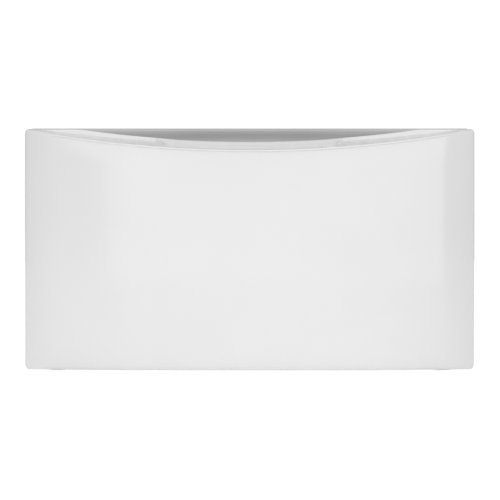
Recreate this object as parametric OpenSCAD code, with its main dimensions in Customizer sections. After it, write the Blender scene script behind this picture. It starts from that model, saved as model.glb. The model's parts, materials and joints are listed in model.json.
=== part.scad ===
// Washer pedestal drawer: a sheet-metal base cabinet that a laundry machine stands on, with
// one full-width drawer behind a bowed white front, pulled by a scoop behind its curved rim.
// +X is to the right as seen from the front, +Y runs to the back, +Z is up. The origin lies
// on the floor, under the middle of the whole.

/* [Overall] */
// Width of the drawer front
front_w = 686; // [670:1:700]
// Depth, from the apex of the bowed front to the screw heads on the back panel
total_d = 700; // [690:1:730]
// Height of the deck above the floor, with the feet screwed in
total_h = 375; // [368:1:395]
// How far the drawer front stands out past each side of the cabinet
front_overhang = 3; // [0:0.5:5]

/* [Bowed front] */
// Radius of the main bow, seen from above
bow_r = 2400; // [2200:50:3200]
// Radius of the bend near each side edge
edge_r = 110; // [90:5:130]
// Angle that the face has turned where that bend ends
edge_turn = 32; // [26:1:36]
// Radius of the vertical corner
corner_r = 11; // [10:0.5:14]
// Depth of the straight side return behind the corner
return_len = 20; // [16:1:24]
// Gap between the floor and the drawer front
front_gap = 6; // [4:0.5:10]
// How far the front's top corners stay below the deck
top_step = 3.5; // [2:0.5:5]
// Radius of the top corners, seen from the front
top_corner_r = 6.5; // [4:0.5:9]
// Radius of the bottom corners, seen from the front
bottom_corner_r = 7; // [5:0.5:9]
// Radius of the soft tuck above the bottom edge
tuck_r = 50; // [40:5:60]
// Angle of the tuck
tuck_turn = 18; // [12:1:20]
// Radius of the bottom edge
bottom_r = 6; // [5:0.5:7]
// Sheet thickness of the front skin
skin_t = 1; // [0.8:0.1:1.2]
// Radius of the smiling rim, seen from the front
smile_r = 1780; // [1700:20:2200]
// How far the rim dips below the top corners at the middle
rim_drop = 33; // [30:1:36]
// Height of the hem folded down behind the rim
hem_h = 10; // [8:1:14]
// Thickness that the hem adds behind the skin
hem_t = 2; // [1.5:0.1:2.5]

/* [Handle scoop] */
// Rise from the rim to the ridge behind it
ridge_rise = 15; // [12:0.5:17]
// Height of the step that ends the sloping shoulder at the ridge
ridge_step = 3.5; // [2:0.5:5]
// Radius of the ridge's arc, seen from the front
ridge_r = 2050; // [1950:50:2400]
// Distance from the face back to the ridge
ridge_depth = 36; // [35:1:42]
// Wall of the moulded scoop
scoop_t = 2.5; // [2:0.1:2.7]
// Height of the scoop's wall behind the rim
scoop_lip_h = 24; // [18:1:30]
// Width of the finger pocket at the rim
pocket_front_w = 226; // [180:2:240]
// Width of the finger pocket at the ridge
pocket_back_w = 300; // [290:2:330]
// Depth of the pocket below the rim
pocket_drop = 40; // [32:1:48]

/* [Cabinet] */
// Sheet thickness of sides, back and drawer box
sheet_t = 1; // [0.8:0.1:1.2]
// Sheet thickness of the deck
deck_t = 1.2; // [1:0.1:1.5]
// Sheet thickness of rails, braces and slide members
rail_t = 1.2; // [1:0.1:1.2]
// Width of the flanges round the cabinet opening
flange_w = 19; // [17:1:20]
// Height of the cabinet's lower edge above the floor
base_z = 32; // [31:1:34]
// Height of the lower rails
base_rail_h = 30; // [26:1:31]
// Height of the grey rail above the drawer
top_rail_h = 46; // [40:1:50]
// Radius of that rail's rounded nose
rail_nose_r = 9; // [3:0.5:12]
// Depth of the rails, front to back
rail_d = 26; // [22:1:30]
// Spacing of the deck's bolt holes across
deck_hole_x = 540; // [500:5:560]
// Spacing of the deck's bolt holes front to back
deck_hole_y = 500; // [470:5:510]
// Radius of the deck's bolt holes
deck_hole_r = 4.5; // [3.5:0.5:5.5]
// Depth of the stiffening beads in deck and back
bead_depth = 3; // [2:0.5:4]
// Length of the deck's beads
deck_bead_l = 340; // [300:10:360]
// Spacing of the deck's beads
deck_bead_x = 162; // [140:2:180]
// Spacing of the back's beads
back_bead_x = 153; // [140:1:165]

/* [Slides] */
// Length of the cabinet members of the slides
slide_len = 550; // [530:5:560]
// Travel of the drawer
travel = 460; // [400:10:480]
// Height of the slides' centre line above the floor
slide_z = 150; // [130:1:190]
// Radius of the outer balls
ball_outer_r = 1.75; // [1.5:0.05:1.8]
// Radius of the inner balls
ball_inner_r = 1.8; // [1.5:0.05:1.85]
// Balls in one row
ball_count = 10; // [6:1:14]

/* [Drawer box] */
// Height of the drawer's sides
box_h = 230; // [180:5:240]
// Width of the rolled top flange
box_flange_w = 12; // [9:1:15]
// Length of the drawer box
box_len = 576; // [560:2:590]
// Spacing of the beads in the drawer's bottom
box_bead_x = 153; // [140:1:170]
// Distance of the stiffeners in the hollow front from its middle
stiffener_x = 185; // [180:5:200]

/* [Feet] */
// Radius of a foot pad
pad_r = 20; // [16:1:22]
// Height of a foot pad
pad_h = 14; // [12:1:14]
// Radius of the levelling studs
stud_r = 5; // [4:0.5:6]
// Distance of the studs from the cabinet's sides
leg_inset_x = 40; // [38:1:46]
// Distance of the front studs from the cabinet's front
leg_inset_front = 72; // [60:1:80]
// Distance of the rear studs from the cabinet's back
leg_inset_rear = 52; // [50:1:60]

/* [Hidden] */
$fn = 96;

white = [0.93, 0.93, 0.93];
rail_grey = [0.42, 0.42, 0.43];
steel = [0.72, 0.73, 0.75];
black = [0.08, 0.08, 0.09];
bow_fn = 256;    // for arcs of a metre or more
cut = 1;         // how far a cutting solid runs past what it cuts
fit = 0.08;      // radial clearance of a running fit
seat = 0.1;      // gap between seated pieces of one body
screw_head_r = 4;
screw_head_h = 1.6;
screw_r = 2;
screw_tip = 3;            // how far a screw reaches out behind the sheets
screw_hole_r = 2.15;
tab_screw_inset = 30;     // from the ends of the drawer's sides to their first screws
slide_screw_inset = 40;   // from the ends of a slide to its first screws
back_screw_low = 18;      // from the lower rail up to the first screw
back_screw_high = 30;     // from the deck down to the last screw

// Plan of the front: main bow, edge bend and corner are arcs that run into each other
face_y = -total_d / 2;
bow_c = [0, face_y + bow_r];
bow_turn = asin((front_w / 2 - corner_r - (edge_r - corner_r) * sin(edge_turn)) / (bow_r - edge_r));
edge_c = bow_c + (bow_r - edge_r) * [sin(bow_turn), -cos(bow_turn)];
corner_c = edge_c + (edge_r - corner_r) * [sin(edge_turn), -cos(edge_turn)];
front_rear_y = corner_c.y + return_len;

// Heights of the front
front_top = total_h - top_step;
rim_z = front_top - rim_drop;
ridge_z = rim_z + ridge_rise;
tuck_z = front_gap + bottom_r + (tuck_r - bottom_r) * sin(tuck_turn);

// Scoop
scoop_d = skin_t + hem_t + seat;
pocket_d0 = scoop_d + scoop_t;
shoulder_slope = (ridge_rise - ridge_step) / (ridge_depth - scoop_d);
shoulder_tilt = atan(shoulder_slope);
shoulder_r = 1 / (1 / smile_r - shoulder_slope / bow_r) / cos(shoulder_tilt);
pocket_z = rim_z - pocket_drop;
pocket_tip = 5;  // the pocket's pointed ends stop this far short of a feather edge

// Cabinet
front_seal = 3;  // gap between the drawer front and the cabinet, filled by the bumpers
cab_x = front_w / 2 - front_overhang;
side_in_x = cab_x - sheet_t;
cab_y0 = front_rear_y + front_seal;
back_y = total_d / 2 - screw_head_h;
cab_y1 = back_y - sheet_t;
flange_y1 = cab_y1 - sheet_t;
deck_z = total_h - deck_t;
top_rail_z = total_h - top_rail_h;
base_top_z = base_z + base_rail_h;
deck_y0 = cab_y0 + rail_d;
deck_mid_y = (deck_y0 + back_y) / 2;
brace_w = 44;
brace_h = 26;
bead_w = 24;
back_bead_inset = 60;     // from the back panel's ends to its beads
back_inset = 2;           // how far the back panel stays inside the cabinet's edges
top_rail_t = 1.5;
opening_x = cab_x - flange_w;

// Slides: distances s are measured from the mounting plane towards the drawer
slide_x = opening_x - 1;
slide_w = 12.7;
slide_y0 = cab_y0 + 4;
moving_len = slide_len - 10;
outer_z = 22.7;
middle_z = 17.4;
inner_z = 12;
middle_s0 = 3.4;
middle_s1 = 11.2;
inner_s0 = 6.4;
outer_lip_s = 10.2;
cage_t = 0.8;
cage_lip_t = 1;
outer_cage_s = (rail_t + middle_s0 - cage_t) / 2;
inner_cage_s = (middle_s0 + rail_t + inner_s0 - cage_t) / 2;
outer_row_z = (outer_z - rail_t + middle_z) / 2;
inner_row_z = (middle_z - rail_t + inner_z) / 2;
outer_row_s = 7;
inner_row_s = 8.2;
cage_spare = 20;          // how much shorter a cage is than the members' least overlap
cage_len = slide_len - travel / 2 - cage_spare;
cage_y0 = slide_y0 + travel / 4 + 8;
bracket_h = 40;
bracket_foot = 12;
bracket_back_gap = 8;     // leaves room for the tips of the back panel's screws
cage_reach = 2.4;         // how far a cage's lips run past the balls' centres
cage_end = 12;            // from a cage's end to its first ball
stop_h = 18;
stop_gap = 3;

// Drawer box
box_x = slide_x - slide_w;
box_z0 = base_top_z + 8;
box_z1 = box_z0 + box_h;
box_y1 = front_rear_y + box_len;
box_tab_w = 18;
box_tab_low = 8;          // from the drawer's lower edge up to the tab
box_bead_inset = 86;      // from the drawer bottom's ends to its beads
box_lip_h = 7;
box_back_step = 9;        // how far the drawer's back stays below its sides
box_floor_z = box_z0 + 2 * sheet_t;

// Release levers
lever_y = slide_y0 + slide_len * 0.62;
lever_pin_r = 2;
lever_len = 52;
lever_boss_r = 5;
lever_arm_h = 8;
lever_tip_h = 5;
lever_s0 = 7.2;
lever_s1 = 11.2;

// Feet
leg_x = cab_x - leg_inset_x;
leg_ys = [cab_y0 + leg_inset_front, cab_y1 - leg_inset_rear];
plate_t = 3;
plate_z = base_z + rail_t;
plate_reach = 34;
plate_clear = 0.6;
nut_af = 17;
nut_r = nut_af / 2 / cos(30);
nut_h = 8;
lock_h = 6;
stud_top = base_top_z;
stud_end_gap = 0.3;       // play between the stud and its pad
collar_z = pad_h + stud_end_gap;
collar_h = 5.6;
socket_z = 5;

// ---------- shared shapes ----------

// Points of an arc about c, where angle 0 points to the front and 90 to the right
function front_arc(c, r, a0, a1, steps) =
    [for (i = [0:steps]) let (a = a0 + (a1 - a0) * i / steps) c + r * [sin(a), -cos(a)]];

// Right-hand bend and corner of the front's plan, d inside the face
function plan_edge(d) = concat(
    front_arc(edge_c, edge_r - d, bow_turn, edge_turn, 8),
    front_arc(corner_c, max(corner_r - d, 0.5), edge_turn, 90, 8));

// Right half of the front's plan, d inside the face
function plan_half(d) = concat(front_arc(bow_c, bow_r - d, 0, bow_turn, 10), plan_edge(d));

// Side section of the front as seen from the right, d inside the face: x is the distance
// outside the face, y the height
function front_section(d, w) = concat(
    [[-w, total_h], [-d, total_h]],
    [for (i = [0:5]) let (a = tuck_turn * i / 5)
        [-tuck_r + (tuck_r - d) * cos(a), tuck_z - (tuck_r - d) * sin(a)]],
    [for (i = [1:8]) let (a = tuck_turn + (90 - tuck_turn) * i / 8)
        [-tuck_r + (tuck_r - bottom_r) * cos(tuck_turn) + (bottom_r - d) * cos(a),
         front_gap + bottom_r - (bottom_r - d) * sin(a)]],
    [[-w, front_gap + d]]);

// How far the bow has run back at x
function bow_back(x) = bow_r - sqrt(bow_r * bow_r - x * x);

// The area between a half plan, its mirror image and a straight rear line
module mirrored_area(half, y_end) {
    count = len(half);
    x_end = half[count - 1].x;
    polygon(concat(
        half,
        [[x_end, y_end], [-x_end, y_end]],
        [for (i = [1:count - 1]) let (p = half[count - i]) [-p.x, p.y]]));
}

module plan_area(d, y_end) {
    mirrored_area(plan_half(d), y_end);
}

// The bowed block that the front is bent round, d inside its face. The bow itself is turned
// about its own axis with its tuck and bottom edge; the plan and a front view cut its edges.
module front_block(d, y_end) {
    edge = plan_edge(d);
    lead = edge[0] - 20 * (edge[1] - edge[0]);
    intersection() {
        intersection() {
            translate([bow_c.x, bow_c.y, 0])
                rotate([0, 0, -90 - bow_turn - 4])
                    rotate_extrude(angle = 2 * (bow_turn + 4), $fn = bow_fn)
                        translate([bow_r, 0])
                            polygon(front_section(d, front_rear_y - face_y + 10 * cut));
            along_y(face_y - cut, y_end)
                children();
        }
        linear_extrude(2 * total_h)
            mirrored_area(concat([[0, face_y - ridge_depth], lead], edge), y_end);
    }
}

// Extrudes a shape drawn as seen from the front, from y0 back to y1
module along_y(y0, y1) {
    translate([0, y1, 0])
        rotate([90, 0, 0])
            linear_extrude(y1 - y0)
                children();
}

// Extrudes a shape drawn with x as depth and y as height, across from x0 to x1
module along_x(x0, x1) {
    translate([x0, 0, 0])
        rotate([90, 0, 90])
            linear_extrude(x1 - x0)
                children();
}

// Everything above an arc whose lowest point is at z
module above_arc(r, z, grow = 0) {
    translate([0, z + r])
        circle(r + grow, $fn = bow_fn);
}

// The rim's arc and the ridge's flatter one
module above_rim(grow = 0) above_arc(smile_r, rim_z, grow);
module above_ridge(grow = 0) above_arc(ridge_r, ridge_z, grow);

// Front view of the drawer front with rounded corners, inset by d
module front_face(d, top) {
    half = front_w / 2 - d;
    low = front_gap + d;
    r_top = top_corner_r - d;
    r_low = bottom_corner_r - d;
    translate([-half, low + r_low])
        square([2 * half, top - r_top - low - r_low]);
    translate([r_top - half, top - r_top - cut])
        square([2 * (half - r_top), r_top + cut]);
    translate([r_low - half, low])
        square([2 * (half - r_low), r_low + cut]);
    for (side = [-1, 1]) {
        translate([side * (half - r_top), top - r_top])
            circle(r_top);
        translate([side * (half - r_low), low + r_low])
            circle(r_low);
    }
}

// The shell between two distances behind the main bow
module bow_band(d0, d1, z0, z1) {
    translate([bow_c.x, bow_c.y, z0])
        difference() {
            cylinder(r = bow_r - d0, h = z1 - z0, $fn = bow_fn);
            translate([0, 0, -cut])
                cylinder(r = bow_r - d1, h = z1 - z0 + 2 * cut, $fn = bow_fn);
        }
}

module box(lo, hi) {
    translate(lo)
        cube(hi - lo);
}

// The right-hand piece, or its mirror image on the left
module on_side(side) {
    mirror([side < 0 ? 1 : 0, 0, 0])
        children();
}

// A box on the right-hand slide, from its mounting plane inwards
module slide_box(s0, s1, y0, y1, z0, z1) {
    box([slide_x - s1, y0, slide_z + z0], [slide_x - s0, y1, slide_z + z1]);
}

// A slide member: a web with a lip above and below
module slide_channel(web, lips, z_out, y0, y1) {
    slide_box(web[0], web[1], y0, y1, -z_out, z_out);
    slide_box(lips[0], lips[1], y0, y1, z_out - rail_t, z_out);
    slide_box(lips[0], lips[1], y0, y1, -z_out, rail_t - z_out);
}

// A channel's section with its open side towards +x
module channel_section(w, h, t) {
    difference() {
        square([w, h]);
        translate([t, t])
            square([w, h - 2 * t]);
    }
}

module screw(length) {
    cylinder(r = screw_head_r, h = screw_head_h);
    translate([0, 0, -length])
        cylinder(r = screw_r, h = length + screw_head_h / 2);
}

// Screw places, each list used for both the screws and their holes
back_screw_span = deck_z - base_top_z - back_screw_low - back_screw_high;
back_screw_zs = [for (i = [0:3]) base_top_z + back_screw_low + i * back_screw_span / 3];
back_screw_x = cab_x - flange_w / 2;
front_screw_zs = [for (i = [0:2]) box_z0 + tab_screw_inset + i * (box_h - 2 * tab_screw_inset) / 2];
front_screw_x = box_x - sheet_t - box_tab_w / 2;
slide_screw_span = moving_len - 2 * slide_screw_inset;
slide_screw_ys = [for (i = [0:2]) slide_y0 + slide_screw_inset + i * slide_screw_span / 2];

// ---------- drawer front ----------

// A pan with a bowed face, side returns and a floor; its rim is hemmed behind
module front_skin() {
    hem_x = (bow_r - edge_r) * sin(bow_turn);
    color(white) {
        difference() {
            front_block(0, front_rear_y)
                difference() {
                    front_face(0, front_top);
                    above_rim();
                }
            front_block(skin_t, front_rear_y + cut)
                front_face(skin_t, total_h);
        }
        intersection() {
            bow_band(skin_t - seat, skin_t + hem_t, rim_z - hem_h - cut, total_h);
            along_y(face_y - cut, front_rear_y)
                difference() {
                    intersection() {
                        above_rim(hem_h);
                        translate([-hem_x, rim_z - 2 * hem_h])
                            square([2 * hem_x, 4 * rim_drop]);
                    }
                    above_rim();
                }
        }
    }
}

// The sloping shoulder's surface is part of a cylinder whose axis leans back. Its radius is
// such that the shoulder leaves the rim along the smile although the rim is bowed in plan.
module above_shoulder(grow = 0) {
    translate([0, face_y + scoop_d, rim_z + shoulder_r / cos(shoulder_tilt)])
        rotate([shoulder_tilt - 90, 0, 0])
            cylinder(r = shoulder_r + grow, h = 8 * ridge_depth, center = true, $fn = bow_fn);
}

// What lies above the scoop's upper face: the shoulder rises from the rim and ends in a step
// up to the ridge's arc, which the pocket's back wall carries on
module above_scoop(grow = 0) {
    intersection() {
        above_shoulder(grow);
        box([-front_w, face_y - cut, 0], [front_w, face_y + ridge_depth + grow, 2 * total_h]);
    }
    along_y(face_y - cut, front_rear_y + 2 * cut)
        above_ridge(grow);
}

// Plan of the finger pocket, wider by grow: its ends narrow in an S from the rim back to the
// ridge, each made of two arcs of one radius
module pocket_plan(grow) {
    xf = pocket_front_w / 2;
    xb = pocket_back_w / 2;
    yf = face_y + pocket_d0 + bow_back(xf);
    yb = face_y + ridge_depth;
    rise = yb - yf;
    run = xb - xf;
    s_r = (run * run + rise * rise) / (4 * rise);
    xm = (xf + xb) / 2 + grow * run / 2 / s_r;
    for (side = [0, 1])
        mirror([side, 0]) {
            translate([-cut, face_y])
                square([xf + cut, yb + grow - face_y]);
            intersection() {
                translate([xf, yf + s_r])
                    circle(s_r + grow);
                translate([xf - cut, yf - grow])
                    square([xm - xf + cut, rise + 2 * grow]);
            }
            difference() {
                translate([xm - cut / 10, yf])
                    square([xb - pocket_tip + 2 * grow - xm, rise + grow]);
                translate([xb, yb - s_r])
                    circle(s_r - grow);
            }
        }
}

// A moulding that closes the front's top: shoulders slope up and back from the rim, and a
// finger pocket drops down between them. It is hollow from below.
module handle_scoop() {
    y_end = front_rear_y - rail_t - seat;
    z_end = front_top;
    low = pocket_z - scoop_t;
    color(white)
        difference() {
            intersection() {
                translate([0, 0, low])
                    linear_extrude(z_end - low)
                        plan_area(scoop_d, y_end);
                along_y(face_y, front_rear_y)
                    front_face(skin_t + seat, z_end);
            }
            above_scoop();
            difference() {
                translate([0, 0, low - cut])
                    linear_extrude(z_end - scoop_t - low + cut)
                        plan_area(pocket_d0, y_end + cut);
                above_scoop(scoop_t);
                translate([0, 0, low - 2 * cut])
                    linear_extrude(total_h)
                        pocket_plan(scoop_t);
            }
            difference() {
                box([-front_w, face_y - cut, low - cut], [front_w, front_rear_y, z_end]);
                along_y(face_y - 2 * cut, front_rear_y + cut)
                    above_rim(scoop_lip_h);
                translate([0, 0, low - 2 * cut])
                    linear_extrude(total_h)
                        pocket_plan(scoop_t);
            }
            translate([0, 0, pocket_z])
                linear_extrude(total_h)
                    intersection() {
                        plan_area(pocket_d0, y_end);
                        pocket_plan(0);
                    }
        }
}

// The drawer box's front wall, which closes the hollow front from behind
module inner_front() {
    y0 = front_rear_y - rail_t;
    color(white)
        difference() {
            along_y(y0, front_rear_y)
                difference() {
                    front_face(skin_t + seat, front_top - scoop_t - seat);
                    above_ridge(scoop_t + seat);
                }
            for (x = [-front_screw_x, front_screw_x], z = front_screw_zs)
                translate([x, front_rear_y, z])
                    rotate([90, 0, 0])
                        cylinder(r = screw_hole_r, h = 4 * rail_t, center = true);
        }
}

// An upright hat section between the skin and the inner front
module front_stiffener(side) {
    w = 46;
    foot = 14;
    end_gap = 22;
    y1 = front_rear_y - rail_t;
    y0 = face_y + bow_back(stiffener_x + w) + skin_t + 3 * seat;
    z0 = front_gap + end_gap;
    z1 = pocket_z - end_gap;
    color(steel)
        on_side(side)
            translate([0, 0, z0])
                linear_extrude(z1 - z0) {
                    translate([stiffener_x, y0])
                        difference() {
                            square([w, y1 - y0]);
                            translate([rail_t, rail_t])
                                square([w - 2 * rail_t, y1 - y0]);
                        }
                    for (x = [stiffener_x - foot, stiffener_x + w])
                        translate([x, y1 - rail_t])
                            square([foot, rail_t]);
                }
}

// Rubber buttons that the closed drawer front rests against
module front_bumpers() {
    bumper_r = 5;
    bumper_inset = 30;
    x = cab_x - flange_w / 2;
    color(black)
        for (side = [-1, 1], z = [base_top_z + bumper_inset, top_rail_z - bumper_inset])
            translate([side * x, front_rear_y, z])
                rotate([-90, 0, 0])
                    cylinder(r = bumper_r, h = front_seal - 2 * seat);
}

// Plan of a pressed bead: a strip with round ends, inset by the sheet it is pressed from
module bead_plan(length, inset) {
    r = bead_w / 2 - inset;
    half = length / 2 - bead_w / 2;
    translate([-r, -half])
        square([2 * r, 2 * half]);
    for (end = [-1, 1])
        translate([0, end * half])
            circle(r);
}

// ---------- drawer box ----------

module drawer_bottom() {
    bead_l = box_len - 2 * box_bead_inset;
    bead_drop = bead_depth / 2;
    x_end = box_x - sheet_t - seat;
    low = box_floor_z - sheet_t;
    color(white)
        difference() {
            union() {
                box([-x_end, front_rear_y, low], [x_end, box_y1 - sheet_t - seat, box_floor_z]);
                for (i = [-1, 0, 1])
                    translate([i * box_bead_x, front_rear_y + box_len / 2, low - bead_drop])
                        linear_extrude(bead_drop + sheet_t / 2)
                            bead_plan(bead_l, 0);
            }
            for (i = [-1, 0, 1])
                translate([i * box_bead_x, front_rear_y + box_len / 2, box_floor_z - bead_drop])
                    linear_extrude(bead_drop + cut)
                        bead_plan(bead_l, sheet_t);
        }
}

module drawer_side(side) {
    x_in = box_x - sheet_t;
    x_lip = box_x - box_flange_w;
    y0 = front_rear_y;
    color(white)
        on_side(side)
            difference() {
                union() {
                    box([x_in, y0, box_z0], [box_x, box_y1, box_z1]);
                    box([x_lip, y0, box_z0], [box_x, box_y1 - sheet_t, box_z0 + sheet_t]);
                    box([x_lip, y0, box_z1 - sheet_t], [box_x, box_y1, box_z1]);
                    box([x_lip, y0, box_z1 - box_lip_h], [x_lip + sheet_t, box_y1, box_z1]);
                    box([x_in - box_tab_w, y0, box_z0 + box_tab_low],
                        [box_x, y0 + sheet_t, box_z1 - box_lip_h - 4 * sheet_t]);
                }
                for (z = front_screw_zs)
                    translate([front_screw_x, front_rear_y, z])
                        rotate([90, 0, 0])
                            cylinder(r = screw_hole_r, h = 4 * sheet_t, center = true);
                for (y = slide_screw_ys)
                    translate([box_x, y, slide_z])
                        rotate([0, 90, 0])
                            cylinder(r = screw_hole_r, h = 4 * sheet_t, center = true);
            }
}

module drawer_back() {
    x = box_x - sheet_t;
    x_flange = box_x - box_flange_w - seat;
    z_top = box_z1 - box_back_step;
    color(white) {
        box([-x, box_y1 - sheet_t, box_z0], [x, box_y1, z_top]);
        box([-x_flange, box_y1 - box_flange_w, z_top - sheet_t], [x_flange, box_y1, z_top]);
    }
}

module drawer_screws() {
    color(steel)
        for (side = [-1, 1])
            on_side(side) {
                for (z = front_screw_zs)
                    translate([front_screw_x, front_rear_y + sheet_t, z])
                        rotate([-90, 0, 0])
                            screw(sheet_t + rail_t + screw_tip);
                for (y = slide_screw_ys)
                    translate([box_x - sheet_t, y, slide_z])
                        rotate([0, -90, 0])
                            screw(sheet_t + rail_t);
            }
}

// ---------- slides ----------

module slide_outer(side) {
    color(steel)
        on_side(side)
            slide_channel([0, rail_t], [0, outer_lip_s], outer_z, slide_y0, slide_y0 + slide_len);
}

module slide_middle(side) {
    color(steel)
        on_side(side)
            slide_channel([middle_s0, middle_s0 + rail_t], [middle_s0, middle_s1], middle_z,
                slide_y0 + 2, slide_y0 + 2 + moving_len);
}

module slide_inner(side) {
    color(steel)
        on_side(side)
            difference() {
                union() {
                    slide_channel([slide_w - rail_t, slide_w], [inner_s0, slide_w], inner_z,
                        slide_y0, slide_y0 + moving_len);
                    translate([slide_x - slide_w + rail_t / 2, lever_y, slide_z])
                        rotate([0, 90, 0])
                            cylinder(r = lever_pin_r, h = slide_w - rail_t / 2 - lever_s0 + 4 * seat);
                }
                for (y = slide_screw_ys)
                    translate([slide_x - slide_w, y, slide_z])
                        rotate([0, 90, 0])
                            cylinder(r = screw_hole_r, h = 4 * rail_t, center = true);
            }
}

// A ball cage: a strip with two lips that hold the balls at their middle
module ball_cage(side, s0, s1, row_z, y0) {
    z_out = row_z + cage_lip_t / 2;
    color(steel)
        on_side(side) {
            slide_box(s0, s0 + cage_t, y0, y0 + cage_len, -z_out, z_out);
            slide_box(s0, s1, y0, y0 + cage_len, z_out - cage_lip_t, z_out);
            slide_box(s0, s1, y0, y0 + cage_len, -z_out, cage_lip_t - z_out);
        }
}

module ball_cage_bored(side, s0, row_s, row_z, r, y0) {
    difference() {
        ball_cage(side, s0, row_s + cage_reach, row_z, y0);
        on_side(side)
            for (z = [-row_z, row_z], y = ball_ys(y0))
                translate([slide_x - row_s, y, slide_z + z])
                    cylinder(r = r + seat, h = 2 * cage_lip_t, center = true, $fn = 24);
    }
}

function ball_ys(y0) =
    [for (i = [0:ball_count - 1]) y0 + cage_end + i * (cage_len - 2 * cage_end) / (ball_count - 1)];

module ball_rows(side, row_s, row_z, r, y0) {
    color(steel)
        on_side(side)
            for (z = [-row_z, row_z], y = ball_ys(y0))
                translate([slide_x - row_s, y, slide_z + z])
                    sphere(r, $fn = 24);
}

module cage_outer(side) {
    ball_cage_bored(side, outer_cage_s, outer_row_s, outer_row_z, ball_outer_r, cage_y0);
}

module cage_inner(side) {
    ball_cage_bored(side, inner_cage_s, inner_row_s, inner_row_z, ball_inner_r, cage_y0);
}

module balls_outer(side) {
    ball_rows(side, outer_row_s, outer_row_z, ball_outer_r, cage_y0);
}

module balls_inner(side) {
    ball_rows(side, inner_row_s, inner_row_z, ball_inner_r, cage_y0);
}

// The lever that lets the drawer off its slide: a boss on the pin and a tapering arm
module release_lever(side) {
    arm_end = lever_y - lever_len;
    color(black)
        on_side(side)
            translate([slide_x - lever_s1, 0, slide_z])
                difference() {
                    union() {
                        translate([0, lever_y, 0])
                            rotate([0, 90, 0])
                                cylinder(r = lever_boss_r, h = lever_s1 - lever_s0);
                        along_x(0, lever_s1 - lever_s0)
                            polygon([[lever_y, -lever_arm_h / 2], [lever_y, lever_arm_h / 2],
                                [arm_end, lever_tip_h / 2], [arm_end, -lever_tip_h / 2]]);
                    }
                    translate([0, lever_y, 0])
                        rotate([0, 90, 0])
                            cylinder(r = lever_pin_r + fit, h = 4 * lever_s1, center = true);
                }
}

// The hat section that carries a slide off the cabinet's side
module slide_bracket(side) {
    half = bracket_h / 2;
    y0 = cab_y0 + sheet_t + seat;
    y1 = flange_y1 - bracket_back_gap;
    color(steel)
        on_side(side) {
            box([slide_x, y0, slide_z - half], [slide_x + rail_t, y1, slide_z + half]);
            for (z = [-1, 1])
                mirror_z(z) {
                    box([slide_x, y0, slide_z + half - rail_t], [side_in_x, y1, slide_z + half]);
                    box([side_in_x - rail_t, y0, slide_z + half - rail_t],
                        [side_in_x, y1, slide_z + half + bracket_foot]);
                }
        }
}

// Mirrors about the slides' centre line when side is negative
module mirror_z(side) {
    translate([0, 0, side < 0 ? 2 * slide_z : 0])
        mirror([0, 0, side < 0 ? 1 : 0])
            children();
}

// Rubber blocks at the rear end of each slide
module slide_stops() {
    color(black)
        for (side = [-1, 1])
            on_side(side)
                slide_box(rail_t, middle_s1 - stop_gap, slide_y0 + moving_len + stop_gap,
                    slide_y0 + slide_len, -stop_h / 2, stop_h / 2);
}

// ---------- cabinet ----------

module side_panel(side) {
    color(white)
        on_side(side)
            difference() {
                union() {
                    box([side_in_x, cab_y0, base_z], [cab_x, cab_y1, deck_z]);
                    box([opening_x, cab_y0, base_top_z + seat],
                        [cab_x, cab_y0 + sheet_t, top_rail_z - seat]);
                    box([opening_x, flange_y1, base_z], [cab_x, cab_y1, deck_z]);
                    box([opening_x, deck_y0, deck_z - sheet_t], [cab_x, cab_y1, deck_z]);
                }
                for (z = back_screw_zs)
                    translate([back_screw_x, cab_y1, z])
                        rotate([90, 0, 0])
                            cylinder(r = screw_hole_r, h = 4 * sheet_t, center = true);
            }
}

module back_panel() {
    x = cab_x - back_inset;
    z_mid = (base_z + deck_z) / 2;
    bead_l = deck_z - base_z - 2 * back_bead_inset;
    color(white)
        difference() {
            union() {
                box([-x, cab_y1, base_z + back_inset], [x, back_y, deck_z]);
                for (i = [-1, 0, 1])
                    along_y(cab_y1 - bead_depth, cab_y1 + sheet_t / 2)
                        translate([i * back_bead_x, z_mid])
                            bead_plan(bead_l, 0);
            }
            for (i = [-1, 0, 1])
                along_y(back_y - bead_depth, back_y + cut)
                    translate([i * back_bead_x, z_mid])
                        bead_plan(bead_l, sheet_t);
            for (side = [-1, 1], z = back_screw_zs)
                translate([side * back_screw_x, back_y, z])
                    rotate([90, 0, 0])
                        cylinder(r = screw_hole_r, h = 4 * sheet_t, center = true);
        }
}

module back_screws() {
    color(steel)
        for (side = [-1, 1], z = back_screw_zs)
            translate([side * back_screw_x, back_y, z])
                rotate([-90, 0, 0])
                    screw(2 * sheet_t + screw_tip);
}

deck_hole_ys = [deck_mid_y - deck_hole_y / 2, deck_mid_y + deck_hole_y / 2];

module deck_holes(r) {
    for (x = [-1, 1] * deck_hole_x / 2, y = deck_hole_ys)
        translate([x, y, deck_z - brace_h])
            cylinder(r = r, h = 2 * brace_h);
}

module top_deck() {
    color(white)
        difference() {
            union() {
                box([-cab_x, deck_y0, deck_z], [cab_x, back_y, total_h]);
                for (i = [-1, 0, 1])
                    translate([i * deck_bead_x, deck_mid_y, deck_z - bead_depth])
                        linear_extrude(bead_depth + deck_t / 2)
                            bead_plan(deck_bead_l, 0);
            }
            for (i = [-1, 0, 1])
                translate([i * deck_bead_x, deck_mid_y, total_h - bead_depth])
                    linear_extrude(bead_depth + cut)
                        bead_plan(deck_bead_l, deck_t);
            deck_holes(deck_hole_r);
        }
}

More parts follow.
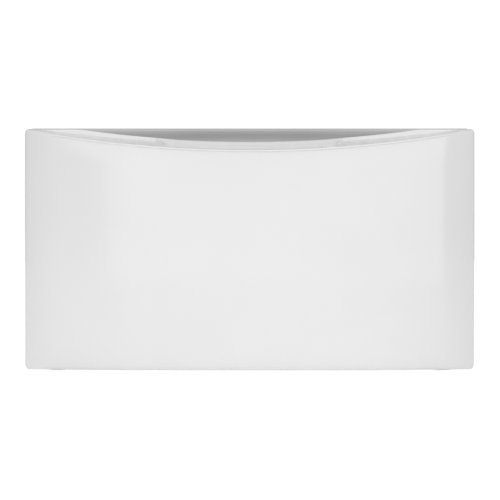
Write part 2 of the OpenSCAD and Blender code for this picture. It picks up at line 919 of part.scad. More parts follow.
// A hat-shaped cross beam under two of the deck's bolt holes
module deck_brace(y) {
    x = side_in_x;
    color(steel)
        difference() {
            along_x(-x, x)
                translate([y - brace_w / 2, deck_z - brace_h])
                    difference() {
                        square([brace_w, brace_h]);
                        translate([rail_t, -cut])
                            square([brace_w - 2 * rail_t, brace_h + cut - rail_t]);
                    }
            for (side = [-1, 1])
                box([side > 0 ? opening_x - seat : -x - cut, y - brace_w, deck_z - sheet_t - seat],
                    [side > 0 ? x + cut : seat - opening_x, y + brace_w, deck_z + cut]);
            deck_holes(deck_hole_r + 2);
        }
}

// The grey rail seen above the drawer front: a channel with a soft upper front edge
module front_top_rail() {
    half = side_in_x - seat;
    color(rail_grey) {
        along_x(-half, half)
            difference() {
                rail_profile(0);
                rail_profile(top_rail_t);
            }
        along_x(-cab_x, cab_x)
            intersection() {
                rail_profile(0);
                translate([cab_y0 - cut, deck_z])
                    square([rail_d + cut, 2 * deck_t]);
            }
    }
}

// Side view of the grey rail with its rounded nose, d inside its faces
module rail_profile(d) {
    h = top_rail_h - 2 * d;
    r = rail_nose_r - d;
    translate([cab_y0 + d, top_rail_z + d]) {
        square([rail_d, h - r]);
        translate([r, 0])
            square([rail_d - r, h]);
        translate([r, h - r])
            circle(r);
    }
}

module front_base_rail() {
    color(steel)
        along_x(seat - side_in_x, side_in_x - seat)
            translate([cab_y0, base_z])
                channel_section(rail_d, base_rail_h, rail_t);
}

module rear_base_rail() {
    color(steel)
        along_x(seat - side_in_x, side_in_x - seat)
            translate([flange_y1, base_z])
                mirror([1, 0])
                    channel_section(rail_d, base_rail_h, rail_t);
}

module side_base_rail(side) {
    color(steel)
        on_side(side)
            along_y(cab_y0 + rail_d, flange_y1 - rail_d)
                translate([side_in_x, base_z])
                    mirror([1, 0])
                        channel_section(flange_w, base_rail_h, rail_t);
}

// ---------- feet ----------

// Puts a piece under one corner: side is 1 on the right and -1 on the left
module at_leg(side, y) {
    translate([side * leg_x, y, 0])
        children();
}

module leg_plates() {
    x1 = side_in_x - rail_t - seat;
    color(steel)
        for (side = [-1, 1], end = [0, 1])
            difference() {
                on_side(side)
                    if (end == 0)
                        box([leg_x - plate_reach, cab_y0 + rail_t + seat, plate_z],
                            [x1, leg_ys[0] + plate_reach, plate_z + plate_t]);
                    else
                        box([leg_x - plate_reach, leg_ys[1] - plate_reach, plate_z],
                            [x1, flange_y1 - rail_t - seat, plate_z + plate_t]);
                at_leg(side, leg_ys[end])
                    cylinder(r = stud_r + plate_clear, h = 3 * plate_z);
            }
}

module nut(z, h) {
    translate([0, 0, z])
        difference() {
            cylinder(r = nut_r, h = h, $fn = 6);
            translate([0, 0, -cut])
                cylinder(r = stud_r + fit, h = h + 2 * cut);
        }
}

module weld_nuts() {
    color(steel)
        for (side = [-1, 1], y = leg_ys)
            at_leg(side, y)
                nut(plate_z + plate_t, nut_h);
}

module lock_nuts() {
    color(steel)
        for (side = [-1, 1], y = leg_ys)
            at_leg(side, y)
                nut(plate_z - lock_h, lock_h);
}

module stud(side, y) {
    color(steel)
        at_leg(side, y) {
            translate([0, 0, socket_z + stud_end_gap])
                cylinder(r = stud_r, h = stud_top - socket_z - stud_end_gap);
            translate([0, 0, collar_z])
                cylinder(r = nut_r, h = collar_h, $fn = 6);
        }
}

module pad(side, y) {
    rim_h = 5;
    shoulder = 5;
    color(black)
        at_leg(side, y)
            difference() {
                union() {
                    cylinder(r = pad_r, h = rim_h);
                    translate([0, 0, rim_h])
                        cylinder(r1 = pad_r - shoulder, r2 = nut_r, h = pad_h - rim_h);
                }
                translate([0, 0, socket_z])
                    cylinder(r = stud_r + fit, h = pad_h);
            }
}

front_skin();
handle_scoop();
inner_front();
front_stiffener(-1);  // front_stiffener_left
front_stiffener(1);  // front_stiffener_right
drawer_bottom();
drawer_side(-1);  // drawer_side_left
drawer_side(1);  // drawer_side_right
drawer_back();
drawer_screws();
front_bumpers();
slide_inner(-1);  // slide_inner_left
slide_inner(1);  // slide_inner_right
release_lever(-1);  // release_lever_left
release_lever(1);  // release_lever_right
slide_middle(-1);  // slide_middle_left
slide_middle(1);  // slide_middle_right
cage_outer(-1);  // cage_outer_left
cage_outer(1);  // cage_outer_right
cage_inner(-1);  // cage_inner_left
cage_inner(1);  // cage_inner_right
balls_outer(-1);  // balls_outer_left
balls_outer(1);  // balls_outer_right
balls_inner(-1);  // balls_inner_left
balls_inner(1);  // balls_inner_right
slide_outer(-1);  // slide_outer_left
slide_outer(1);  // slide_outer_right
slide_bracket(-1);  // slide_bracket_left
slide_bracket(1);  // slide_bracket_right
slide_stops();
side_panel(-1);  // side_panel_left
side_panel(1);  // side_panel_right
back_panel();
back_screws();
top_deck();
front_top_rail();
front_base_rail();
rear_base_rail();
side_base_rail(-1);  // side_base_rail_left
side_base_rail(1);  // side_base_rail_right
deck_brace(deck_hole_ys[0]);  // deck_brace_front
deck_brace(deck_hole_ys[1]);  // deck_brace_rear
leg_plates();
weld_nuts();
lock_nuts();
stud(-1, leg_ys[0]);  // stud_front_left
stud(1, leg_ys[0]);  // stud_front_right
stud(-1, leg_ys[1]);  // stud_rear_left
stud(1, leg_ys[1]);  // stud_rear_right
pad(-1, leg_ys[0]);  // pad_front_left
pad(1, leg_ys[0]);  // pad_front_right
pad(-1, leg_ys[1]);  // pad_rear_left
pad(1, leg_ys[1]);  // pad_rear_right
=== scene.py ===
"""Looks of the washer pedestal drawer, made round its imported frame. Lengths are in metres."""
import json
import math

import bpy
from mathutils import Matrix, Vector


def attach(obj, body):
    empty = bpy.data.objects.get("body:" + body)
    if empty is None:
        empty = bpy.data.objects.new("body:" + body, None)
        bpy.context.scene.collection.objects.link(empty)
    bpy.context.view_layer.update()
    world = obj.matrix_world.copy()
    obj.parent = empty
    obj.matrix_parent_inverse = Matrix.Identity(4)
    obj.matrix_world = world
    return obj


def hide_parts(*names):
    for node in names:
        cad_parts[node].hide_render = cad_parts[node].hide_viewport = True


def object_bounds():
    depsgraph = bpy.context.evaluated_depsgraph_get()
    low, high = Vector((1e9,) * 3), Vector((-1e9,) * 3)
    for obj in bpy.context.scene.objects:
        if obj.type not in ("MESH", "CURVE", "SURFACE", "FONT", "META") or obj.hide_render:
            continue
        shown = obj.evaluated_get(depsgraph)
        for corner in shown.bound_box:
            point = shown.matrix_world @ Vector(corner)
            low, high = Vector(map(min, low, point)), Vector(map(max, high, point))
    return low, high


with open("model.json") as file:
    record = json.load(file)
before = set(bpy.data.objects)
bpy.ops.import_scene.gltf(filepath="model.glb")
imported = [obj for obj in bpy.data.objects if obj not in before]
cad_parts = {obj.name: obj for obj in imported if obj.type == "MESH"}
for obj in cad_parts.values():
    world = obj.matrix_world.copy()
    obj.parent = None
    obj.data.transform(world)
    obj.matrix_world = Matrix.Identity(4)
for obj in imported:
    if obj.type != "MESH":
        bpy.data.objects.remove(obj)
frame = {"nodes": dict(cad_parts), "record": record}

MM = 0.001
SIDES = {"left": -1, "right": 1}
ENDS = ("front", "rear")

cad_low, cad_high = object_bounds()
record = frame["record"]
slot_of = {part["node"]: part["material_slot"] for part in record["subparts"]}
body_with = {node: body for body, nodes in record["behaviour"]["bodies"].items() for node in nodes}


# ---------- shader maths ----------

class Value:
    """A number in a shader. Arithmetic on it adds the Math nodes."""

    def __init__(self, finish, socket):
        self.finish = finish
        self.socket = socket

    def math(self, operation, *values):
        sockets = dict(enumerate(values or (self,)))
        return self.finish.node("ShaderNodeMath", {"operation": operation}, sockets)

    def __add__(self, other):
        return self.math("ADD", self, other)

    def __radd__(self, other):
        return self.math("ADD", other, self)

    def __sub__(self, other):
        return self.math("SUBTRACT", self, other)

    def __rsub__(self, other):
        return self.math("SUBTRACT", other, self)

    def __mul__(self, other):
        return self.math("MULTIPLY", self, other)

    def __rmul__(self, other):
        return self.math("MULTIPLY", other, self)


class Finish:
    """A procedural material. Its patterns lie in the object's own coordinates."""

    def __init__(self, name):
        self.material = bpy.data.materials.new(name)
        self.material.use_nodes = True
        self.tree = self.material.node_tree
        self.tree.nodes.clear()
        self.place = self.node("ShaderNodeTexCoord", out="Object")

    def node(self, kind, settings=None, sockets=None, out=0):
        """Adds a node and returns one of its outputs. A ramp's stops come as (place, grey) pairs."""
        made = self.tree.nodes.new(kind)
        for name, value in (settings or {}).items():
            if name == "stops":
                self.set_stops(made.color_ramp.elements, value)
            else:
                setattr(made, name, value)
        for name, value in (sockets or {}).items():
            socket = self.socket(made, name)
            if isinstance(value, Value):
                self.tree.links.new(value.socket, socket)
            else:
                socket.default_value = value
        return Value(self, made.outputs[out])

    def set_stops(self, elements, stops):
        while len(elements) < len(stops):
            elements.new(0.5)
        for element, (place, grey) in zip(elements, stops):
            element.position = place
            element.color = (grey, grey, grey, 1)

    def socket(self, made, name):
        if isinstance(name, int):
            return made.inputs[name]
        return next(s for s in made.inputs if s.name == name and s.enabled)

    def noise(self, scale, detail=2.0, stretch=(1, 1, 1), roughness=0.5):
        """Soft noise from 0 to 1, with about `scale` features per metre along each axis."""
        place = self.node("ShaderNodeMapping", None, {"Vector": self.place, "Scale": stretch})
        sockets = {"Vector": place, "Scale": scale, "Detail": detail, "Roughness": roughness}
        return self.node("ShaderNodeTexNoise", None, sockets)

    def cells(self, scale, stretch=(1, 1, 1)):
        """A random grey for each of about `scale` cells per metre."""
        place = self.node("ShaderNodeMapping", None, {"Vector": self.place, "Scale": stretch})
        colour = self.node("ShaderNodeTexVoronoi", None, {"Vector": place, "Scale": scale}, "Color")
        return self.node("ShaderNodeSeparateColor", None, {"Color": colour})

    def share(self, value, span):
        """How far a value has come from one end of a span to the other, from 0 to 1."""
        sockets = {"Value": value, "From Min": span[0], "From Max": span[1]}
        return self.node("ShaderNodeMapRange", None, sockets)

    def fading(self, distance, span, level):
        """A level that falls to 0 between two distances on either side."""
        return self.node("ShaderNodeMapRange", None, {
            "Value": distance.math("ABSOLUTE"), "From Min": span[0], "From Max": span[1],
            "To Min": level, "To Max": 0.0})

    def ramp(self, value, stops):
        return self.node("ShaderNodeValToRGB", {"stops": stops}, {"Fac": value})

    def mix(self, factor, a, b):
        settings = {"data_type": "RGBA"}
        mixed = self.node("ShaderNodeMix", settings, {"Factor": factor, "A": a, "B": b}, "Result")
        mixed.socket = mixed.socket.node.outputs[2]
        return mixed

    def bump(self, height, depth, strength=1.0, under=None):
        """A normal from a height of 0 to 1 that stands for `depth` metres."""
        sockets = {"Height": height, "Distance": depth, "Strength": strength}
        if under:
            sockets["Normal"] = under
        return self.node("ShaderNodeBump", None, sockets)

    def surface(self, **sockets):
        """Ends the material in a Principled shader with these sockets."""
        named = {name.replace("_", " "): value for name, value in sockets.items()}
        shader = self.node("ShaderNodeBsdfPrincipled", None, named, "BSDF")
        self.node_output(shader)
        return self.material

    def node_output(self, shader):
        made = self.tree.nodes.new("ShaderNodeOutputMaterial")
        self.tree.links.new(shader.socket, made.inputs["Surface"])


def grey(level, warm=0.0):
    return (level + warm, level, level - warm, 1)


PEEL_SCALE = 330
PEEL_DEPTH = 9e-6


def enamel(name, light, dark, roughness, coat):
    """Baked enamel on sheet steel: a faint orange peel under a clear gloss."""
    f = Finish(name)
    cloud = f.noise(7, 3)
    peel = f.noise(PEEL_SCALE, 2)
    fine = f.noise(2600, 1)
    skin = f.bump(peel, PEEL_DEPTH, 1.0)
    skin = f.bump(fine, 1e-6, 1.0, skin)
    return f.surface(
        Base_Color=f.mix(f.ramp(cloud, [(0.35, 0), (0.65, 1)]), dark, light),
        Roughness=roughness + 0.08 * f.noise(21, 4) + 0.03 * fine,
        Normal=skin, Coat_Weight=coat, Coat_Roughness=0.07, IOR=1.5)


# Stops of (share of RAIL_PAINTED_SHADE_SPAN, grey), set until the render's brightness came near the photo's
# These greys are painted shade and highlight on the grey enamel: a painted highlight on the nose, painted
# shade below it, lighter again lower down as painted bounce light.
RAIL_PAINTED_SHADE_TONES = [
    (0.2, 0.5), (0.3, 0.4), (0.42, 0.315), (0.6, 0.29),
    (0.72, 0.35), (0.78, 0.43), (0.85, 0.49), (0.91, 0.58)]
# Heights over which the painted shade and highlight run
RAIL_PAINTED_SHADE_SPAN = (350 * MM, 375 * MM)
# Span of |x| over which the rail is painted lighter towards its ends, and by how much: a painted reflection
RAIL_PAINTED_REFLECTION_SPAN = (80 * MM, 260 * MM)
RAIL_PAINTED_REFLECTION_SHARE = 0.24


def rail_enamel_with_painted_light(name, painted_shade_tones, span, roughness):
    """Grey enamel with painted light: its grey runs with the height over a span as painted shade and
    highlight, and lightens to the sides as a painted reflection.
    """
    f = Finish(name)
    across = f.node("ShaderNodeSeparateXYZ", None, {"Vector": f.place}, "X").math("ABSOLUTE")
    height = f.node("ShaderNodeSeparateXYZ", None, {"Vector": f.place}, "Z")
    # Height share and |x| share that place the painted shade, highlight and reflection
    level = f.share(height, span)
    side = f.share(across, RAIL_PAINTED_REFLECTION_SPAN)
    painted_shade_tone = f.ramp(level, painted_shade_tones)
    peel = f.noise(PEEL_SCALE, 2)
    # Lighter towards the ends is a painted reflection; the small noise is random tone
    light = f.mix(RAIL_PAINTED_REFLECTION_SHARE * side + 0.05 * f.noise(9, 3), painted_shade_tone, grey(0.9))
    return f.surface(
        Base_Color=light, Roughness=roughness + 0.08 * f.noise(21, 4),
        Normal=f.bump(peel, PEEL_DEPTH, 1.0), Coat_Weight=0.3, Coat_Roughness=0.2, IOR=1.5)


def moulding(name, light, dark, roughness, coat=0.0):
    """A moulded plastic with a fine spark-eroded grain."""
    f = Finish(name)
    cloud = f.noise(11, 3)
    grain = f.noise(3800, 2)
    flow = f.noise(60, 2, (1, 0.2, 1))
    skin = f.bump(grain, 6e-6, 1.0)
    skin = f.bump(flow, 2e-5, 0.6, skin)
    return f.surface(
        Base_Color=f.mix(f.ramp(cloud, [(0.3, 0), (0.7, 1)]), dark, light),
        Roughness=roughness + 0.1 * grain + 0.05 * flow, Normal=skin, IOR=1.46,
        Coat_Weight=coat, Coat_Roughness=0.1)


def plated(name, light, dark, roughness, run):
    """Zinc on rolled steel: soft spangle crossed by fine lines along the rolling direction."""
    f = Finish(name)
    spangle = f.cells(140)
    lines = f.noise(1500, 3, run)
    cloud = f.noise(25, 4)
    shade = f.ramp(0.55 * spangle + 0.25 * lines + 0.2 * cloud, [(0.2, 0), (0.8, 1)])
    return f.surface(
        Base_Color=f.mix(shade, dark, light), Metallic=1.0,
        Roughness=roughness + 0.12 * lines + 0.1 * cloud - 0.06 * spangle,
        Normal=f.bump(lines, 2e-6, 1.0), IOR=2.2)


def polished(name, light, dark, roughness):
    """Ground and polished bearing steel with a trace of oil."""
    f = Finish(name)
    smear = f.noise(420, 4)
    return f.surface(
        Base_Color=f.mix(smear, dark, light), Metallic=1.0,
        Roughness=roughness + 0.08 * smear, Normal=f.bump(smear, 2e-6, 1.0))


def rubber(name, light, dark, roughness):
    """Moulded rubber with a matt bloom."""
    f = Finish(name)
    bloom = f.noise(90, 5)
    grain = f.noise(2200, 3)
    return f.surface(
        Base_Color=f.mix(f.ramp(bloom, [(0.35, 0), (0.75, 1)]), dark, light),
        Roughness=roughness + 0.12 * bloom, Normal=f.bump(grain, 2.5e-5, 1.0), IOR=1.45)


LENGTHWISE = (1, 0.03, 1)
finishes = {
    "white_enamel": enamel("white_enamel", grey(0.85), grey(0.835), 0.13, 0.35),
    "white_plastic": moulding("white_plastic", grey(0.89), grey(0.87), 0.2, 0.4),
    # The rail's grey carries painted shade, highlight and reflection
    "grey_enamel": rail_enamel_with_painted_light("grey_enamel", RAIL_PAINTED_SHADE_TONES, RAIL_PAINTED_SHADE_SPAN, 0.36),
    "zinc_steel": plated("zinc_steel", grey(0.46, 0.004), grey(0.38, 0.002), 0.32, LENGTHWISE),
    "cage_steel": plated("cage_steel", grey(0.36, 0.005), grey(0.28, 0.003), 0.36, LENGTHWISE),
    "bearing_steel": polished("bearing_steel", grey(0.62), grey(0.54), 0.1),
    "black_rubber": rubber("black_rubber", grey(0.045), grey(0.018), 0.68),
    "black_plastic": moulding("black_plastic", grey(0.04), grey(0.022), 0.42),
}


# ---------- modelling by hand ----------

def only(piece):
    """Makes a piece the one selected and active object."""
    bpy.ops.object.select_all(action="DESELECT")
    piece.hide_set(False)
    piece.select_set(True)
    bpy.context.view_layer.objects.active = piece
    return piece


def edit(kind="VERT"):
    bpy.ops.object.mode_set(mode="EDIT")
    bpy.ops.mesh.select_mode(type=kind)


def leave():
    bpy.ops.object.mode_set(mode="OBJECT")


def apply_modifier(piece, kind, **settings):
    only(piece)
    modifier = piece.modifiers.new(kind.lower(), kind)
    for name, value in settings.items():
        setattr(modifier, name, value)
    bpy.ops.object.modifier_apply(modifier=modifier.name)


def chain(name, points):
    """A new piece that is one line of edges through these points, drawn by extruding a vertex."""
    bpy.ops.object.select_all(action="DESELECT")
    bpy.ops.mesh.primitive_plane_add(size=1e-3, location=(0, 0, 0))
    piece = bpy.context.object
    piece.name = name
    edit()
    bpy.ops.mesh.select_all(action="SELECT")
    bpy.ops.mesh.merge(type="CENTER")
    bpy.ops.transform.translate(value=points[0])
    for start, end in zip(points, points[1:]):
        step = Vector(end) - Vector(start)
        bpy.ops.mesh.extrude_region_move(TRANSFORM_OT_translate={"value": step})
    bpy.ops.mesh.select_all(action="SELECT")
    leave()
    return piece


def pick(piece, test, kind="verts"):
    """Selects what passes a test on its middle, and leaves edit mode on."""
    mode = {"verts": "VERT", "edges": "EDGE", "faces": "FACE"}[kind]
    leave()
    mesh = piece.data
    for group in (mesh.vertices, mesh.edges, mesh.polygons):
        for item in group:
            item.select = False
    edit(mode)
    leave()
    places = [v.co for v in mesh.vertices]
    if kind == "verts":
        for v in mesh.vertices:
            v.select = test(v.co)
    elif kind == "edges":
        for e in mesh.edges:
            e.select = test((places[e.vertices[0]] + places[e.vertices[1]]) / 2)
    else:
        for p in mesh.polygons:
            p.select = test(p.center, p.normal)
    edit(mode)


def arc(centre, radius, start, end, steps):
    """Points (first, second) of an arc in a plane, with angles in degrees."""
    turns = [math.radians(start + (end - start) * i / steps) for i in range(steps + 1)]
    return [(centre[0] + radius * math.cos(t), centre[1] + radius * math.sin(t)) for t in turns]


def smooth(piece, angle=35):
    only(piece)
    bpy.ops.object.shade_smooth_by_angle(angle=math.radians(angle))


def dress(piece, node, flat=True):
    """Gives a finished piece its body, its finish and the CAD node that it stands for."""
    if flat:
        apply_modifier(piece, "WEIGHTED_NORMAL", keep_sharp=True)
    slot = slot_of[node]
    piece.data.materials.clear()
    piece.data.materials.append(finishes[slot])
    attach(piece, body_with[node])
    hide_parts(node)
    return piece


def joined_copy(node, name):
    """A copy of a CAD piece whose loose triangles are joined and whose flat faces are whole."""
    piece = bpy.data.objects.new(name, frame["nodes"][node].data.copy())
    bpy.context.scene.collection.objects.link(piece)
    only(piece)
    if piece.data.has_custom_normals:
        bpy.ops.mesh.customdata_custom_splitnormals_clear()
    edit()
    bpy.ops.mesh.select_all(action="SELECT")
    bpy.ops.mesh.remove_doubles(threshold=2e-6)
    bpy.ops.mesh.dissolve_limited(angle_limit=math.radians(0.4))
    leave()
    return piece


def place(along, at, flat):
    """The point whose coordinate along one axis is `at` and whose others are `flat`."""
    rest = list(flat)
    rest.insert("xyz".index(along), at)
    return tuple(rest)


def bent_path(corners, radius, steps=4):
    """A path with its corners rounded, as sheet metal bends."""
    path = [Vector(corners[0])]
    for before, corner, after in zip(corners, corners[1:], corners[2:]):
        corner = Vector(corner)
        u = (corner - Vector(before)).normalized()
        v = (Vector(after) - corner).normalized()
        half = u.angle(v) / 2
        centre = corner + (v - u).normalized() * radius / math.cos(half)
        first = corner - u * radius * math.tan(half) - centre
        for i in range(steps + 1):
            turn = 2 * half * i / steps * (1 if u.cross(v) > 0 else -1)
            path.append(centre + Matrix.Rotation(turn, 2) @ first)
    path.append(Vector(corners[-1]))
    return path


def folded(name, corners, along, start, end, thickness, radius=1.6 * MM):
    """A strip of sheet metal folded along a path of its middle, and run from start to end."""
    path = bent_path(corners, radius)
    piece = chain(name, [place(along, start, point) for point in path])
    edit()
    run = Vector(place(along, end - start, (0, 0)))
    bpy.ops.mesh.extrude_region_move(TRANSFORM_OT_translate={"value": run})
    bpy.ops.mesh.select_all(action="SELECT")
    bpy.ops.mesh.normals_make_consistent(inside=False)
    leave()
    apply_modifier(piece, "SOLIDIFY", thickness=thickness, offset=0, use_even_offset=True)
    return rounded(piece, 0.18 * MM, 2, 60)


def bar(name, outline, along, start, end):
    """A solid bar of one section."""
    piece = chain(name, [place(along, start, point) for point in outline])
    edit()
    bpy.ops.mesh.edge_face_add()
    run = Vector(place(along, end - start, (0, 0)))
    bpy.ops.mesh.extrude_region_move(TRANSFORM_OT_translate={"value": run})
    bpy.ops.mesh.select_all(action="SELECT")
    bpy.ops.mesh.normals_make_consistent(inside=False)
    leave()
    return piece


def turned(name, profile, middle, axis="z", steps=48):
    """A piece turned on a lathe: a closed profile of (radius, height) about an axis."""
    at = Vector(middle)
    if axis == "z":
        points = [(at.x + r, at.y, at.z + h) for r, h in profile]
    else:
        points = [(at.x + r, at.y + h, at.z) for r, h in profile]
    piece = chain(name, points)
    edit()
    bpy.ops.mesh.select_all(action="SELECT")
    turn_axis = (0, 0, 1) if axis == "z" else (0, 1, 0)
    bpy.ops.mesh.spin(steps=steps, angle=2 * math.pi, center=at, axis=turn_axis)
    bpy.ops.mesh.select_all(action="SELECT")
    bpy.ops.mesh.remove_doubles(threshold=1e-6)
    bpy.ops.mesh.normals_make_consistent(inside=False)
    leave()
    return piece


def closed(piece):
    """Caps a piece's open ends and turns its faces outward."""
    only(piece)
    edit()
    bpy.ops.mesh.select_all(action="DESELECT")
    bpy.ops.mesh.select_non_manifold()
    bpy.ops.mesh.edge_face_add()
    bpy.ops.mesh.select_all(action="SELECT")
    bpy.ops.mesh.normals_make_consistent(inside=False)
    leave()
    return piece


def rounded(piece, width, segments=2, angle=32, **more):
    """Rounds all edges sharper than an angle."""
    apply_modifier(
        piece, "BEVEL", width=width, segments=segments, limit_method="ANGLE",
        angle_limit=math.radians(angle), use_clamp_overlap=True, **more)
    smooth(piece)
    return piece


def bend(piece, radius, test, segments=4):
    """Rounds the sharp edges whose middles pass a test, as a press brake bends sheet."""
    only(piece)
    pick(piece, lambda co: False, "edges")
    bpy.ops.mesh.edges_select_sharp(sharpness=math.radians(40))
    leave()
    mesh = piece.data
    chosen = [e.index for e in mesh.edges if e.select and test(
        (mesh.vertices[e.vertices[0]].co + mesh.vertices[e.vertices[1]].co) / 2)]
    pick(piece, lambda co: False, "edges")
    leave()
    for index in chosen:
        mesh.edges[index].select = True
    edit("EDGE")
    bpy.ops.mesh.bevel(offset=radius, segments=segments, affect="EDGES")
    leave()
    return piece


def duplicate(piece, shift, name):
    """A copy with a mesh of its own, moved by shift."""
    copy = bpy.data.objects.new(name, piece.data.copy())
    bpy.context.scene.collection.objects.link(copy)
    copy.data.transform(Matrix.Translation(Vector(shift)))
    return copy


def joined(pieces, name):
    """One piece made of several."""
    bpy.ops.object.select_all(action="DESELECT")
    for piece in pieces:
        piece.select_set(True)
    bpy.context.view_layer.objects.active = pieces[0]
    bpy.ops.object.join()
    pieces[0].name = name
    return pieces[0]


def settle(piece):
    """Puts a piece's place, turn and size into its mesh."""
    only(piece)
    bpy.ops.object.transform_apply(location=True, rotation=True, scale=True)
    return piece


def softened(node, width, segments=2):
    """A CAD piece with its sharp edges rounded, standing for its node."""
    piece = joined_copy(node, node + "_worked")
    return dress(rounded(piece, width, segments, miter_outer="MITER_ARC"), node)


# ---------- camera and studio ----------

CAMERA_X = 0.45 * MM
CAMERA_AWAY = 3.0
CAMERA_Z = 0.1876
HALF_VIEW = 0.1254
face_y = cad_low.y

camera_data = bpy.data.cameras.new("camera")
camera_data.sensor_width = 36
camera_data.lens = camera_data.sensor_width / 2 / HALF_VIEW
camera = bpy.data.objects.new("camera", camera_data)
bpy.context.scene.collection.objects.link(camera)
camera.location = (CAMERA_X, face_y - CAMERA_AWAY, CAMERA_Z)
camera.rotation_euler = (math.pi / 2, 0, 0)
bpy.context.scene.camera = camera
bpy.context.scene.view_settings.view_transform = "Standard"

SKY_LIGHT = 0.47
SKY_SEEN = 1.05
FLOOR_SIZE = 60
FLOOR_WHITE = 0.8
FLOOR_GLOW = 1.0
FLOOR_SEEN = 0.78
world = bpy.data.worlds.new("studio")
bpy.context.scene.world = world
world.use_nodes = True
sky = world.node_tree.nodes["Background"]
sky.inputs["Color"].default_value = (1, 1, 1, 1)
seen = world.node_tree.nodes.new("ShaderNodeLightPath").outputs["Is Camera Ray"]
strength = world.node_tree.nodes.new("ShaderNodeMapRange")
strength.inputs["To Min"].default_value = SKY_LIGHT
strength.inputs["To Max"].default_value = SKY_SEEN
world.node_tree.links.new(seen, strength.inputs["Value"])
world.node_tree.links.new(strength.outputs["Result"], sky.inputs["Strength"])


def softbox(name, place, aim, size, power):
    data = bpy.data.lights.new(name, "AREA")
    data.shape = "RECTANGLE"
    data.size, data.size_y = size
    data.energy = power
    light = bpy.data.objects.new(name, data)
    bpy.context.scene.collection.objects.link(light)
    light.location = place
    light.rotation_euler = (Vector(aim) - Vector(place)).to_track_quat("-Z", "Y").to_euler()


KEY_PLACE = (0.28, face_y - 4.25, 1.52)
KEY_AIM = (0.1, face_y, 0.5)
KEY_SIZE = (3.4, 3.0)
KEY_POWER = 58
TOP_PLACE = (0.2, -0.9, 3.0)
TOP_AIM = (0, -0.3, 0.3)
TOP_SIZE = (3.0, 0.4)
TOP_POWER = 9
softbox("key", KEY_PLACE, KEY_AIM, KEY_SIZE, KEY_POWER)
softbox("top", TOP_PLACE, TOP_AIM, TOP_SIZE, TOP_POWER)

# A strip of floor before the object that lights its lower face
NEAR_GLOW = 0.24
NEAR_Y = face_y - 160 * MM
NEAR_EDGES = (120 * MM, 180 * MM)
NEAR_SIDES = (240 * MM, 360 * MM)

bpy.ops.mesh.primitive_plane_add(size=FLOOR_SIZE, location=(0, 0, 0))
floor = bpy.context.object
floor.name = "floor"
floor_finish = Finish("floor")
bounce = floor_finish.node("ShaderNodeLightPath", out="Is Diffuse Ray")
looked_at = floor_finish.node("ShaderNodeLightPath", out="Is Camera Ray")
before = floor_finish.node("ShaderNodeSeparateXYZ", None, {"Vector": floor_finish.place}, "Y")
beside = floor_finish.node("ShaderNodeSeparateXYZ", None, {"Vector": floor_finish.place}, "X")
near = floor_finish.fading(before - NEAR_Y, NEAR_EDGES, NEAR_GLOW)
near *= floor_finish.fading(beside, NEAR_SIDES, 1.0)
glow = FLOOR_GLOW * (1 - bounce) + near * bounce
floor_finish.surface(
    Base_Color=grey(FLOOR_WHITE), Roughness=0.6 + 0.1 * floor_finish.noise(3, 2),
    Emission_Color=grey(1.0), Emission_Strength=glow + (FLOOR_SEEN - FLOOR_GLOW) * looked_at)
floor.data.materials.append(floor_finish.material)


# ---------- drawer front ----------

FRONT_W = 686 * MM
BOW_R = 2400 * MM
EDGE_R = 110 * MM
EDGE_TURN = math.radians(32)
CORNER_R = 11 * MM
RETURN = 20 * MM
EDGE_SPAN = (EDGE_R - CORNER_R) * math.sin(EDGE_TURN)
BOW_TURN = math.asin((FRONT_W / 2 - CORNER_R - EDGE_SPAN) / (BOW_R - EDGE_R))
BOW_C = Vector((0, face_y + BOW_R, 0))
EDGE_C = BOW_C + (BOW_R - EDGE_R) * Vector((math.sin(BOW_TURN), -math.cos(BOW_TURN), 0))
CORNER_C = EDGE_C + (EDGE_R - CORNER_R) * Vector((math.sin(EDGE_TURN), -math.cos(EDGE_TURN), 0))
# The plan's three arcs, each with its centre, its radius and the turn at its end
PLAN_ARCS = (
    (BOW_C, BOW_R, BOW_TURN), (EDGE_C, EDGE_R, EDGE_TURN), (CORNER_C, CORNER_R, math.pi / 2))

FRONT_GAP = 6 * MM
FRONT_TOP = 371.5 * MM
RIM_Z = 338.5 * MM
SMILE_R = 1780 * MM
TOP_CORNER_R = 6.5 * MM
LOW_CORNER_R = 8.5 * MM
TUCK_R = 50 * MM
TUCK_TURN = 18
BOTTOM_R = 6 * MM
TUCK_Z = FRONT_GAP + BOTTOM_R + (TUCK_R - BOTTOM_R) * math.sin(math.radians(TUCK_TURN))
SHEET = 1 * MM
ROLL_R = 1.1 * MM
GROOVE_D = 0.75 * MM
GROOVE_W = 1.5 * MM
GROOVE_FADE = (290 * MM, 320 * MM)
HEM = 10 * MM


def ease(value, start, end):
    """Runs softly from 0 at `start` to 1 at `end`."""
    t = min(1.0, max(0.0, (value - start) / (end - start)))
    return t * t * (3 - 2 * t)


def rim_height(x):
    """Height of the front's upper edge: the smile, cut off by the rounded top corners."""
    smile = RIM_Z + SMILE_R - math.sqrt(SMILE_R ** 2 - x * x)
    past = max(0.0, abs(x) - (FRONT_W / 2 - TOP_CORNER_R))
    corner = FRONT_TOP - TOP_CORNER_R + math.sqrt(max(0.0, TOP_CORNER_R ** 2 - past * past))
    return min(smile, corner)


def plan_y(x, inside):
    """Where the front's plan lies at x, `inside` metres behind its face."""
    x = abs(x)
    for centre, radius, turn in PLAN_ARCS:
        if x - centre.x <= (radius - inside) * math.sin(turn) + 1e-9:
            break
    return centre.y - math.sqrt(max(0.0, (radius - inside) ** 2 - (x - centre.x) ** 2))


